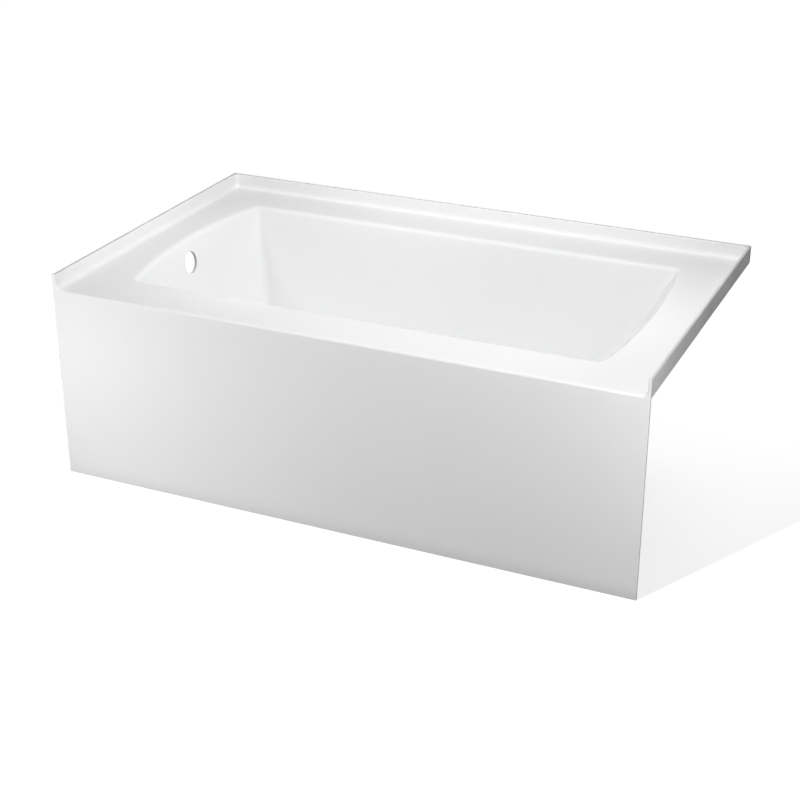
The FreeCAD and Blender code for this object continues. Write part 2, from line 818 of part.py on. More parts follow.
def levelling_feet():
    """Four feet, each with its pad, stem, lock nut and washer, and the fixed nuts."""
    pieces = []
    fixed_nuts = []
    for place, side, end in FEET:
        pieces.append(foot_pad(place + "_foot_pad", side, end))
        pieces.append(foot_stem(place + "_foot_stem", side, end))
        pieces.append(washer(place + "_washer", side, end))
        pieces.append(hex_nut(place + "_lock_nut", "nut_top - nut_high", side, end))
        fixed_nuts.append(hex_nut(place + "_fixed_nut", "rail_bottom + rail_wall",
                                  side, end))
    return pieces + [group("rail_nuts", fixed_nuts)]


# ---------------------------------------------------------------- build and write

def build():
    """Make every sub-part, in the order that they go together."""
    front = tub_form("visible_form", "0", "flange_cove")
    bond = tub_form("bond_form", "acrylic_thick", "flange_cove + acrylic_thick")
    inner = tub_form("inner_form", "shell_thick", "outer_edge_radius")
    drills = waste_holes()
    nodes = [shell_layer("acrylic_shell", front, bond, drills),
             shell_layer("fibreglass_laminate", bond, inner, drills)]
    nodes += rim_battens()
    nodes += apron_woodwork()
    nodes.append(kick_batten())
    nodes.append(bottom_board())
    for side_name, side in RAIL_SIDES:
        nodes.append(cross_rail(side_name + "_end_rail", side))
        nodes.append(apron_bracket(side_name + "_end_bracket", side))
    nodes += [rail_caps(), rail_screws(), *bracket_screws()]
    nodes += levelling_feet()
    doc.recompute()
    return nodes


def check(nodes):
    """Stop if any object failed, or if a sub-part has no sound shape."""
    for thing in doc.Objects:
        if "Invalid" in thing.State or "Error" in thing.State:
            raise RuntimeError(thing.Name + " failed")
    for node in nodes:
        if node.Shape.isNull() or not node.Shape.isValid() or not node.Shape.Solids:
            raise RuntimeError(node.Label + " has no sound shape")


def write(nodes):
    """Write each sub-part to a file of its own name."""
    os.makedirs("parts", exist_ok=True)
    for node in nodes:
        node.Shape.exportStep("parts/%s.step" % node.Label)
        box = node.Shape.BoundBox
        print("%-28s solids %d  volume %.0f  x %.1f..%.1f  y %.1f..%.1f  z %.1f..%.1f" % (
            node.Label, len(node.Shape.Solids), node.Shape.Volume, box.XMin, box.XMax,
            box.YMin, box.YMax, box.ZMin, box.ZMax))


finished = build()
check(finished)
write(finished)
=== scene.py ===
"""Alcove bathtub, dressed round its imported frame.

The frame gives every piece its place and its outer size; the mould's inner sizes and the
smallest details are named here.  The script adds the smooth shell, the threads and
fasteners, the finishes, a plain studio and the camera.  Lengths are metres.
"""

import logging
import math
from dataclasses import dataclass, field
from enum import Enum
from typing import Callable, Iterable, Sequence, Union

import bmesh
import bpy
import numpy as np
from mathutils import Matrix, Vector


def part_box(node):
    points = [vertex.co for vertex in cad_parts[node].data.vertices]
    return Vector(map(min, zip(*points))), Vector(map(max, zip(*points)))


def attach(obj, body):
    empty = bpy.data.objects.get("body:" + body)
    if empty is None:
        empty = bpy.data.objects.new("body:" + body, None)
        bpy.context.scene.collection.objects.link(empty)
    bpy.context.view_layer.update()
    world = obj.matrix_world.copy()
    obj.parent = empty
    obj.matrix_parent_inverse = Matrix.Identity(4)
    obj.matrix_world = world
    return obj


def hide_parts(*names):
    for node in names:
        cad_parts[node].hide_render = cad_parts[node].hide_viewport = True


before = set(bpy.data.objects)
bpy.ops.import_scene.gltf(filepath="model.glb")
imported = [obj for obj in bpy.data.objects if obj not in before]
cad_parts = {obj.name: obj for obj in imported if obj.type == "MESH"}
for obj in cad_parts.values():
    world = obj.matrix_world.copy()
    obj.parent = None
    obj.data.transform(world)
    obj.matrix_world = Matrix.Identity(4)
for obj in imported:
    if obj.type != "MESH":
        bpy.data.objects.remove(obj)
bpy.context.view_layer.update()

log = logging.getLogger("alcove_bathtub")

MM = 0.001
WELD = 0.005 * MM
SHARP_OVER = math.radians(32)
ROUND_OVER = math.radians(40)
FLAT_UNDER = math.radians(1)
Colour = tuple[float, float, float]
Place = tuple[float, float, float]
Rgba = tuple[float, float, float, float]
Radius = Callable[[np.ndarray], np.ndarray]
Row = tuple[float, Radius]
Socket = bpy.types.NodeSocket
Surface = tuple[Socket, Socket, Socket]
Value = Union[float, int, tuple, Socket]


# ------------------------------------------------------------------ plain values


def shares(steps: int) -> np.ndarray:
    """Even steps from 0 to 1."""
    return np.linspace(0, 1, steps + 1)


def quarter(steps: int) -> np.ndarray:
    """Even steps through a quarter turn, in radians."""
    return np.linspace(0, math.pi / 2, steps + 1)


def heading(turn_degrees: float, rise_degrees: float) -> Vector:
    """The way that points at a turn from X about Z, and at a rise over the floor."""
    turn, rise = math.radians(turn_degrees), math.radians(rise_degrees)
    return Vector((math.cos(turn) * math.cos(rise), math.sin(turn) * math.cos(rise),
                   math.sin(rise)))


def grey(tone: float) -> Rgba:
    """An opaque grey."""
    return (tone, tone, tone, 1.0)


def label_of(name: str) -> str:
    """A socket's label, from the same words joined by underscores."""
    return name.replace("_", " ").title()


# ------------------------------------------------------------------ node trees


class TreeWriter:
    """Adds nodes to one tree and links them; an input is a value or another socket."""

    def __init__(self, tree: bpy.types.NodeTree) -> None:
        """Keep the tree that the nodes go into."""
        self.tree = tree

    def add(self, kind: str, inputs: dict[Union[str, int], Value] | None = None,
            **settings: object) -> bpy.types.Node:
        """Add one node.

        Args:
            kind: The node's type name.
            inputs: Values or sockets by input name or number.
            settings: Properties of the node itself.

        Returns:
            The new node.
        """
        node = self.tree.nodes.new(kind)
        for name, value in settings.items():
            setattr(node, name, value)
        for name, value in (inputs or {}).items():
            self.feed(node.inputs[name], value)
        return node

    def feed(self, socket: Socket, value: Value) -> None:
        """Link a socket into an input, or set the input to a plain value."""
        if isinstance(value, bpy.types.NodeSocket):
            self.tree.links.new(value, socket)
        else:
            socket.default_value = value

    def math(self, operation: str, first: Value, second: Value = 0.0) -> Socket:
        """Add a math node, which is the same in every kind of tree, for its result."""
        node = self.add("ShaderNodeMath", {0: first, 1: second}, operation=operation)
        return node.outputs[0]

    def blend(self, share: Value, first: Value, second: Value) -> Socket:
        """Mix two colours by a share."""
        node = self.add("ShaderNodeMix", data_type="RGBA")
        self.feed(node.inputs[0], share)
        self.feed(node.inputs[6], first)
        self.feed(node.inputs[7], second)
        return node.outputs[2]

    def ramp(self, value: Socket, stops: Sequence[tuple[float, float]]) -> Socket:
        """A grey ramp through the stops, each a place and a brightness."""
        node = self.add("ShaderNodeValToRGB", {0: value})
        points = node.color_ramp.elements
        while len(points) < len(stops):
            points.new(0.5)
        for point, (place, tone) in zip(points, stops):
            point.position = place
            point.color = grey(tone)
        return node.outputs[0]

    def noise(self, vector: Socket, scale: Value, detail: float = 2.0) -> Socket:
        """Noise at a scale, about 0.5 on average."""
        node = self.add("ShaderNodeTexNoise", {
            "Vector": vector, "Scale": scale, "Detail": detail})
        return node.outputs[0]

    def stretched(self, vector: Socket, scale: Place) -> Socket:
        """The vector, scaled along each axis."""
        node = self.add("ShaderNodeMapping", {"Vector": vector, "Scale": scale})
        return node.outputs[0]

    def turned(self, vector: Socket, turn: Place) -> Socket:
        """The vector, turned about each axis."""
        node = self.add("ShaderNodeMapping", {"Vector": vector, "Rotation": turn})
        return node.outputs[0]


def new_group(name: str, kind: str, takes: dict[str, tuple[str, Value]],
              gives: dict[str, str]) -> tuple[TreeWriter, dict[str, Socket], dict[str, Socket]]:
    """Start a node group with named inputs and outputs.

    Args:
        name: The group's name.
        kind: ShaderNodeTree or GeometryNodeTree.
        takes: Input name to socket type and default value.
        gives: Output name to socket type.

    Returns:
        The writer, the sockets that bring the inputs, and the sockets to feed.
    """
    tree = bpy.data.node_groups.new(name, kind)
    for label, (socket_type, default) in takes.items():
        made = tree.interface.new_socket(label, in_out="INPUT", socket_type=socket_type)
        if default is not None:
            made.default_value = default
    for label, socket_type in gives.items():
        tree.interface.new_socket(label, in_out="OUTPUT", socket_type=socket_type)
    writer = TreeWriter(tree)
    source = writer.add("NodeGroupInput")
    sink = writer.add("NodeGroupOutput")
    return (writer, {label: source.outputs[label] for label in takes},
            {label: sink.inputs[label] for label in gives})


# ------------------------------------------------------------------ shared effects


class Effect(Enum):
    """The effects that more than one finish uses."""

    RELIEF = "moulded_relief"
    BLOTCHES = "soft_blotches"
    RUBBED_EDGES = "rubbed_edges"
    GRAIN = "wood_grain"

    def start(self, gives: Sequence[str], **sizes: float) -> tuple[
            TreeWriter, dict[str, Socket], dict[str, Socket]]:
        """Start this effect's group.

        Args:
            gives: The labels of its outputs.
            sizes: Its inputs' defaults; the vector comes before them.

        Returns:
            What new_group returns.
        """
        takes: dict[str, tuple[str, Value]] = {"Vector": ("NodeSocketVector", None)}
        for name, size in sizes.items():
            takes[label_of(name)] = ("NodeSocketFloat", size)
        return new_group(self.value, "ShaderNodeTree", takes,
                         dict.fromkeys(gives, "NodeSocketFloat"))


def relief_group() -> bpy.types.NodeTree:
    """Two sizes of shallow unevenness, as on any moulded or sprayed surface."""
    writer, takes, gives = Effect.RELIEF.start(
        ["Height"], broad_scale=8.0, fine_scale=400.0, fine_share=0.2)
    broad = writer.noise(takes["Vector"], takes["Broad Scale"])
    fine = writer.noise(takes["Vector"], takes["Fine Scale"], 3.0)
    shallow = writer.math("MULTIPLY", fine, takes["Fine Share"])
    writer.feed(gives["Height"], writer.math("ADD", broad, shallow))
    return writer.tree


def blotch_group() -> bpy.types.NodeTree:
    """A soft mask between 0 and 1, for uneven colour and gloss."""
    writer, takes, gives = Effect.BLOTCHES.start(["Mask"], scale=10.0, low=0.35, high=0.65)
    spread = writer.add("ShaderNodeMapRange", {
        "Value": writer.noise(takes["Vector"], takes["Scale"], 4.0),
        "From Min": takes["Low"], "From Max": takes["High"]})
    writer.feed(gives["Mask"], spread.outputs[0])
    return writer.tree


def rubbed_group() -> bpy.types.NodeTree:
    """A mask that is 1 on outer edges, broken up by noise."""
    writer, takes, gives = Effect.RUBBED_EDGES.start(
        ["Mask"], width=1.0 * MM, break_up=120.0)
    rounded = writer.add("ShaderNodeBevel", {"Radius": takes["Width"]}, samples=4)
    plain = writer.add("ShaderNodeNewGeometry")
    angle = writer.add("ShaderNodeVectorMath", {
        0: rounded.outputs[0], 1: plain.outputs["Normal"]}, operation="DOT_PRODUCT")
    turned = writer.math("SUBTRACT", 1.0, angle.outputs["Value"])
    noise = writer.noise(takes["Vector"], takes["Break Up"], 3.0)
    broken = writer.math("MULTIPLY", turned, noise)
    spread = writer.add("ShaderNodeMapRange", {
        "Value": broken, "From Min": 0.02, "From Max": 0.12})
    writer.feed(gives["Mask"], spread.outputs[0])
    return writer.tree


def grain_group() -> bpy.types.NodeTree:
    """Growth rings seen along a sawn face: late wood, pores and a height."""
    writer, takes, gives = Effect.GRAIN.start(
        ["Late Wood", "Pores", "Height"], ring_scale=90.0)
    waver = writer.add("ShaderNodeTexNoise", {
        "Vector": takes["Vector"], "Scale": 3.0, "Detail": 3.0, "Distortion": 0.6})
    rings = writer.math("MULTIPLY", waver.outputs[0], takes["Ring Scale"])
    phase = writer.math("FRACT", rings)
    late = writer.math("POWER", phase, 3.0)
    long_pores = writer.stretched(takes["Vector"], (6.0, 140.0, 140.0))
    pores = writer.ramp(writer.noise(long_pores, 4.0, 3.0), ((0.58, 0.0), (0.7, 1.0)))
    writer.feed(gives["Late Wood"], late)
    writer.feed(gives["Pores"], pores)
    writer.feed(gives["Height"], writer.math("SUBTRACT", late, pores))
    return writer.tree


def build_effects() -> dict[Effect, bpy.types.NodeTree]:
    """Build each shared effect once."""
    return {Effect.RELIEF: relief_group(), Effect.BLOTCHES: blotch_group(),
            Effect.RUBBED_EDGES: rubbed_group(), Effect.GRAIN: grain_group()}


EFFECTS: dict[Effect, bpy.types.NodeTree] = {}


# ------------------------------------------------------------------ finishes


@dataclass(frozen=True)
class Finish:
    """What every finish has: a name, the slot it stands for, a colour and a gloss.

    The scales are those of the shared effects.  Dulling is how much the roughness goes
    up where the finish's own mask is 1.
    """

    name: str
    slot: str
    colour: Colour
    roughness: float
    metallic: float = 0.0
    ior: float = 1.5
    bump_depth: float = 0.05 * MM
    broad_scale: float = 8.0
    fine_scale: float = 400.0
    fine_share: float = 0.2
    blotch_scale: float = 10.0
    dulling: float = 0.1

    def material(self) -> bpy.types.Material:
        """Build the material: the shader itself, and the finish's own pattern.

        Returns:
            The new material.
        """
        made = bpy.data.materials.new(self.name)
        made.use_nodes = True
        writer = TreeWriter(made.node_tree)
        shader = made.node_tree.nodes["Principled BSDF"]
        shader.inputs["Metallic"].default_value = self.metallic
        shader.inputs["IOR"].default_value = self.ior
        place = writer.add("ShaderNodeTexCoord").outputs["Object"]
        colour, gloss, height = self.pattern(writer, place)
        writer.feed(shader.inputs["Base Color"], colour)
        writer.feed(shader.inputs["Roughness"], gloss)
        bump = writer.add("ShaderNodeBump", {
            "Height": height, "Distance": self.bump_depth, "Strength": 1.0})
        writer.feed(shader.inputs["Normal"], bump.outputs[0])
        return made

    def pattern(self, writer: TreeWriter, place: Socket) -> Surface:
        """The finish's colour, roughness and height over the surface."""
        raise NotImplementedError

    def effect(self, writer: TreeWriter, effect: Effect,
               **inputs: Value) -> bpy.types.Node:
        """Place a shared effect, its inputs named with underscores for spaces."""
        node = writer.add("ShaderNodeGroup", node_tree=EFFECTS[effect])
        for name, value in inputs.items():
            writer.feed(node.inputs[label_of(name)], value)
        return node

    def relief(self, writer: TreeWriter, place: Socket) -> Socket:
        """The height of the finish's broad and fine unevenness."""
        node = self.effect(writer, Effect.RELIEF, vector=place,
                           broad_scale=self.broad_scale, fine_scale=self.fine_scale,
                           fine_share=self.fine_share)
        return node.outputs["Height"]

    def blotches(self, writer: TreeWriter, place: Socket) -> Socket:
        """The mask of the finish's soft blotches."""
        return self.effect(writer, Effect.BLOTCHES, vector=place,
                           scale=self.blotch_scale).outputs["Mask"]

    def shade(self, factor: float) -> Rgba:
        """The finish's colour made lighter or darker."""
        return (*(min(channel * factor, 1.0) for channel in self.colour), 1.0)

    def dulled(self, writer: TreeWriter, mask: Value) -> Socket:
        """The finish's roughness, which goes up where the mask is 1."""
        node = writer.add("ShaderNodeMapRange", {
            "Value": mask, "To Min": self.roughness,
            "To Max": self.roughness + self.dulling})
        return node.outputs[0]


@dataclass(frozen=True)
class AcrylicFinish(Finish):
    """Vacuum-formed acrylic sheet: white, glossy, faintly uneven."""

    broad_scale: float = 5.0
    fine_scale: float = 260.0
    fine_share: float = 0.01
    blotch_scale: float = 7.0
    dulling: float = 0.03
    haze_tone: float = 0.992

    def pattern(self, writer: TreeWriter, place: Socket) -> Surface:
        """White with barely uneven gloss over long shallow waves."""
        haze = self.blotches(writer, place)
        colour = writer.blend(haze, self.shade(1.0), self.shade(self.haze_tone))
        return colour, self.dulled(writer, haze), self.relief(writer, place)


@dataclass(frozen=True)
class FibreglassFinish(Finish):
    """Sprayed resin and chopped strands, rolled flat by hand."""

    broad_scale: float = 34.0
    fine_scale: float = 420.0
    fine_share: float = 0.35
    blotch_scale: float = 9.0
    dulling: float = 0.2
    pool_tones: tuple[float, float] = (0.86, 1.06)
    strand_scale: float = 6.5
    strand_stretch: Place = (4.0, 46.0, 46.0)
    strand_edges: tuple[tuple[float, float], ...] = ((0.5, 0.0), (0.62, 1.0))
    strand_tone: float = 1.5
    strand_cover: float = 0.35
    strand_height: float = 0.25
    lay_turns: tuple[float, ...] = (0.3, 1.2, 2.1, 2.7)

    def strands(self, writer: TreeWriter, place: Socket, turn: float) -> Socket:
        """One lay of strands: thin bright lines that cross the others at an angle."""
        lain = writer.turned(place, (turn, turn * 0.7, turn * 1.3))
        drawn_out = writer.stretched(lain, self.strand_stretch)
        return writer.ramp(writer.noise(drawn_out, self.strand_scale, 1.0),
                           self.strand_edges)

    def pattern(self, writer: TreeWriter, place: Socket) -> Surface:
        """Grey resin, uneven in tone, under paler, duller and slightly raised strands."""
        lay: Value = 0.0
        for turn in self.lay_turns:
            lay = writer.math("MAXIMUM", lay, self.strands(writer, place, turn))
        resin = writer.blend(self.blotches(writer, place), *map(self.shade, self.pool_tones))
        colour = writer.blend(writer.math("MULTIPLY", lay, self.strand_cover), resin,
                              self.shade(self.strand_tone))
        height = writer.math("ADD", self.relief(writer, place),
                             writer.math("MULTIPLY", lay, self.strand_height))
        return colour, self.dulled(writer, lay), height


@dataclass(frozen=True)
class WoodFinish(Finish):
    """Sawn softwood with its grain along one axis, or plywood with its plies."""

    along: str = "X"
    plies: int = 0
    ply_low: float = 0.0
    ply_high: float = 1.0
    ring_scale: float = 26.0
    ring_stretch: Place = (0.35, 5.0, 5.0)
    saw_stretch: Place = (700.0, 20.0, 20.0)
    saw_height: float = 0.4
    early_tone: float = 1.1
    late_tone: float = 0.62
    late_cover: float = 0.6
    pore_tone: float = 0.42
    pore_cover: float = 0.5
    crossed_tone: float = 0.45
    worn_tone: float = 0.8
    worn_edge: float = 1.5 * MM

    def pattern(self, writer: TreeWriter, place: Socket) -> Surface:
        """Rings and pores stretched along the board, with saw marks across it."""
        turns = {"X": (0.0, 0.0, 0.0), "Y": (0.0, 0.0, -math.pi / 2),
                 "Z": (0.0, math.pi / 2, 0.0)}
        lain = writer.turned(place, turns[self.along])
        stretched = writer.stretched(lain, self.ring_stretch)
        grain = self.effect(writer, Effect.GRAIN, vector=stretched,
                            ring_scale=self.ring_scale)
        late, pores, height = grain.outputs
        tint = writer.blend(writer.math("MULTIPLY", late, self.late_cover),
                            self.shade(self.early_tone), self.shade(self.late_tone))
        colour = writer.blend(writer.math("MULTIPLY", pores, self.pore_cover), tint,
                              self.shade(self.pore_tone))
        if self.plies:
            colour = self.plied(writer, place, colour)
        worn = self.effect(writer, Effect.RUBBED_EDGES, vector=place, width=self.worn_edge)
        colour = writer.blend(worn.outputs[0], colour, self.shade(self.worn_tone))
        marks = writer.noise(writer.stretched(lain, self.saw_stretch), 1.0)
        rough = writer.math("ADD", height, writer.math("MULTIPLY", marks, self.saw_height))
        return colour, self.dulled(writer, pores), rough

    def plied(self, writer: TreeWriter, place: Socket, face: Socket) -> Socket:
        """Bands of light and dark plies by height, which show on the board's edges."""
        split = writer.add("ShaderNodeSeparateXYZ", {0: place})
        share = writer.add("ShaderNodeMapRange", {
            "Value": split.outputs["Z"], "From Min": self.ply_low,
            "From Max": self.ply_high, "To Max": float(self.plies)}, clamp=False)
        odd = writer.math("PINGPONG", share.outputs[0], 1.0)
        crossed = writer.ramp(odd, ((0.45, 0.0), (0.55, 1.0)))
        normal = writer.add("ShaderNodeNewGeometry").outputs["True Normal"]
        level = writer.add("ShaderNodeSeparateXYZ", {0: normal}).outputs["Z"]
        is_edge = writer.math("LESS_THAN", writer.math("ABSOLUTE", level), 0.5)
        return writer.blend(writer.math("MULTIPLY", crossed, is_edge), face,
                            self.shade(self.crossed_tone))


@dataclass(frozen=True)
class MetalFinish(Finish):
    """Plated or galvanised steel: crystals or a fine grain, and rubbed edges."""

    broad_scale: float = 160.0
    fine_scale: float = 1500.0
    fine_share: float = 0.3
    blotch_scale: float = 45.0
    dulling: float = 0.12
    crystal_scale: float = 90.0
    crystal_contrast: float = 0.12
    worn_edge: float = 0.6 * MM
    worn_tone: float = 1.25

    def pattern(self, writer: TreeWriter, place: Socket) -> Surface:
        """Flat crystals of slightly different greys, rougher in places."""
        crystals = writer.add("ShaderNodeTexVoronoi", {
            "Vector": place, "Scale": self.crystal_scale})
        tone = writer.add("ShaderNodeSeparateColor", {0: crystals.outputs["Color"]})
        low, high = 1.0 - self.crystal_contrast, 1.0 + self.crystal_contrast
        plate = writer.blend(tone.outputs[0], self.shade(low), self.shade(high))
        worn = self.effect(writer, Effect.RUBBED_EDGES, vector=place,
                           width=self.worn_edge).outputs[0]
        colour = writer.blend(worn, plate, self.shade(self.worn_tone))
        stain = self.blotches(writer, place)
        return colour, self.dulled(writer, stain), self.relief(writer, place)


@dataclass(frozen=True)
class PlasticFinish(Finish):
    """Moulded plastic with a fine eroded texture."""

    broad_scale: float = 300.0
    fine_scale: float = 1400.0
    fine_share: float = 1.0
    blotch_scale: float = 60.0
    dulling: float = 0.15
    dust_tone: float = 1.5
    scuff_tone: float = 3.0

    def pattern(self, writer: TreeWriter, place: Socket) -> Surface:
        """Near black with a little dust, scuffed along its edges."""
        dust = self.blotches(writer, place)
        body = writer.blend(dust, self.shade(1.0), self.shade(self.dust_tone))
        worn = self.effect(writer, Effect.RUBBED_EDGES, vector=place).outputs[0]
        colour = writer.blend(worn, body, self.shade(self.scuff_tone))
        return colour, self.dulled(writer, dust), self.relief(writer, place)


@dataclass(frozen=True)
class Finishes:
    """Every finish of the bathtub."""

    acrylic: Finish = AcrylicFinish(
        "white_acrylic", "white_acrylic", (0.88, 0.882, 0.885), 0.17, ior=1.49,
        bump_depth=0.25 * MM)
    fibreglass: Finish = FibreglassFinish(
        "sprayed_fibreglass", "grey_fibreglass", (0.58, 0.582, 0.585), 0.42,
        ior=1.4, bump_depth=0.7 * MM)
    steel: Finish = MetalFinish(
        "galvanised_steel", "galvanised_steel", (0.56, 0.575, 0.59), 0.34, metallic=1.0)
    zinc: Finish = MetalFinish(
        "zinc_plate", "zinc_plate", (0.66, 0.66, 0.63), 0.24, metallic=1.0,
        crystal_scale=420.0, crystal_contrast=0.05, worn_edge=0.3 * MM)
    plastic: Finish = PlasticFinish(
        "black_plastic", "black_plastic", (0.022, 0.022, 0.024), 0.48)

    def softwood(self, along: str) -> Finish:
        """Sawn softwood whose grain runs along one axis."""
        return WoodFinish("softwood_along_" + along, "sawn_wood", (0.56, 0.38, 0.21), 0.62,
                          bump_depth=0.25 * MM, along=along)

    def plywood(self, low: float, high: float) -> Finish:
        """Plywood whose plies lie between two heights."""
        return WoodFinish("birch_plywood", "plywood", (0.54, 0.38, 0.22), 0.55,
                          bump_depth=0.15 * MM, plies=11, ply_low=low, ply_high=high)


class Paint:
    """Makes each finish's material once and hands it out."""

    def __init__(self) -> None:
        """Start with no materials."""
        self.made: dict[str, bpy.types.Material] = {}

    def of(self, finish: Finish) -> bpy.types.Material:
        """The material of a finish."""
        if finish.name not in self.made:
            self.made[finish.name] = finish.material()
        return self.made[finish.name]


# ------------------------------------------------------------------ mesh helpers


def placed(name: str, data: bpy.types.ID) -> bpy.types.Object:
    """A new object round its data, linked into the scene at the origin."""
    made = bpy.data.objects.new(name, data)
    bpy.context.scene.collection.objects.link(made)
    return made


def mesh_object(name: str, vertices: np.ndarray,
                faces: Iterable[Sequence[int]]) -> bpy.types.Object:
    """A linked mesh object, welded, with its faces pointing outwards.

    Args:
        name: The piece's name.
        vertices: One row of three numbers for each vertex.
        faces: Vertex numbers of each face.

    Returns:
        The object, at the origin.
    """
    mesh = bpy.data.meshes.new(name)
    mesh.from_pydata([tuple(map(float, vertex)) for vertex in vertices], [],
                     [tuple(face) for face in faces])
    tidy_mesh(mesh)
    return placed(name, mesh)


def welded_cage(mesh: bpy.types.Mesh) -> bmesh.types.BMesh:
    """A copy of a mesh to edit, with its doubles merged."""
    cage = bmesh.new()
    cage.from_mesh(mesh)
    bmesh.ops.remove_doubles(cage, verts=cage.verts, dist=WELD)
    return cage


def keep(cage: bmesh.types.BMesh, mesh: bpy.types.Mesh) -> None:
    """Write an edited copy into its mesh, and free the copy."""
    cage.to_mesh(mesh)
    cage.free()


def tidy_mesh(mesh: bpy.types.Mesh) -> None:
    """Merge doubles, drop faces without area and turn the rest outwards."""
    cage = welded_cage(mesh)
    bmesh.ops.dissolve_degenerate(cage, edges=cage.edges, dist=WELD)
    bmesh.ops.recalc_face_normals(cage, faces=cage.faces)
    keep(cage, mesh)


def smooth(piece: bpy.types.Object) -> None:
    """Shade smooth, with the edges that turn by more than SHARP_OVER kept sharp."""
    piece.data.shade_smooth()
    piece.data.set_sharp_from_angle(angle=SHARP_OVER)


def apply_modifiers(piece: bpy.types.Object) -> None:
    """Turn a piece with live modifiers into a plain mesh."""
    shown = piece.evaluated_get(bpy.context.evaluated_depsgraph_get())
    result = bpy.data.meshes.new_from_object(shown)
    piece.modifiers.clear()
    piece.data = result


def bevel(piece: bpy.types.Object, width: float, segments: int = 2) -> None:
    """Round the edges that turn by more than ROUND_OVER."""
    modifier = piece.modifiers.new("rounded_edges", "BEVEL")
    modifier.width = width
    modifier.segments = segments
    modifier.limit_method = "ANGLE"
    modifier.angle_limit = ROUND_OVER
    modifier.use_clamp_overlap = True
    apply_modifiers(piece)


def cut(piece: bpy.types.Object, tools: Sequence[bpy.types.Object]) -> None:
    """Cut the tools out of a piece, and delete the tools."""
    for tool in tools:
        modifier = piece.modifiers.new("cut", "BOOLEAN")
        modifier.operation = "DIFFERENCE"
        modifier.solver = "EXACT"
        modifier.object = tool
    apply_modifiers(piece)
    for tool in tools:
        bpy.data.objects.remove(tool)


def rod(name: str, start: Vector, finish: Vector, radius: float,
        around: int = 64) -> bpy.types.Object:
    """A plain cylinder between two points, to cut with."""
    axis = finish - start
    turn = axis.to_track_quat("Z", "Y").to_matrix()
    angles = np.arange(around) * 2 * math.pi / around
    circle = [turn @ Vector((radius * math.cos(a), radius * math.sin(a), 0)) for a in angles]
    vertices = [start + spoke for spoke in circle] + [finish + spoke for spoke in circle]
    faces = [tuple(range(around)), tuple(range(around, 2 * around))]
    faces += [(i, (i + 1) % around, around + (i + 1) % around, around + i)
              for i in range(around)]
    return mesh_object(name, np.array([tuple(v) for v in vertices]), faces)


def grid_faces(rows: int, columns: int, closed: bool, first: int = 0) -> list[tuple[int, ...]]:
    """Quads between neighbouring rows of a grid; closed joins the last column to the first."""
    faces = []
    last = columns if closed else columns - 1
    for row in range(rows - 1):
        for column in range(last):
            a = first + row * columns + column
            b = first + row * columns + (column + 1) % columns
            faces.append((a, b, b + columns, a + columns))
    return faces


def dress(piece: bpy.types.Object, finish: Finish, paint: Paint, body: str,
          nodes: Sequence[str] = ()) -> bpy.types.Object:
    """Give a finished piece its material and body, and hide the nodes it stands for.

    Args:
        piece: The finished mesh object.
        finish: The finish that it wears.
        paint: The maker of materials.
        body: The body that it moves with.
        nodes: The frame's nodes that it replaces.

    Returns:
        The same piece.
    """
    piece.data.materials.clear()
    piece.data.materials.append(paint.of(finish))
    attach(piece, body)
    if nodes:
        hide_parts(*nodes)
    log.info("%s: %d faces, rides on %s", piece.name, len(piece.data.polygons), body)
    return piece


# ------------------------------------------------------------------ Geometry Nodes


def grow(name: str, tree: bpy.types.NodeTree, inputs: dict[str, object],
         base: bpy.types.Mesh | None = None) -> bpy.types.Object:
    """Run a Geometry Nodes tree once and keep its result as a plain mesh.

    Args:
        name: The piece's name.
        tree: The tree to run.
        inputs: Values by the tree's input names.
        base: The mesh that the tree starts from, if it needs one.

    Returns:
        The object with the finished mesh and no modifier.
    """
    holder = placed(name, base or bpy.data.meshes.new(name + "_start"))
    modifier = holder.modifiers.new("grow", "NODES")
    modifier.node_group = tree
    for item in tree.interface.items_tree:
        if item.in_out == "INPUT" and item.name in inputs:
            modifier[item.identifier] = inputs[item.name]
    apply_modifiers(holder)
    tidy_mesh(holder.data)
    return holder


def end_in_material(writer: TreeWriter, shape: Socket, material: Socket,
                    result: Socket) -> None:
    """End a tree: real copies, with the material on all of them."""
    real = writer.add("GeometryNodeRealizeInstances", {"Geometry": shape})
    painted = writer.add("GeometryNodeSetMaterial", {
        "Geometry": real.outputs[0], "Material": material})
    writer.feed(result, painted.outputs[0])


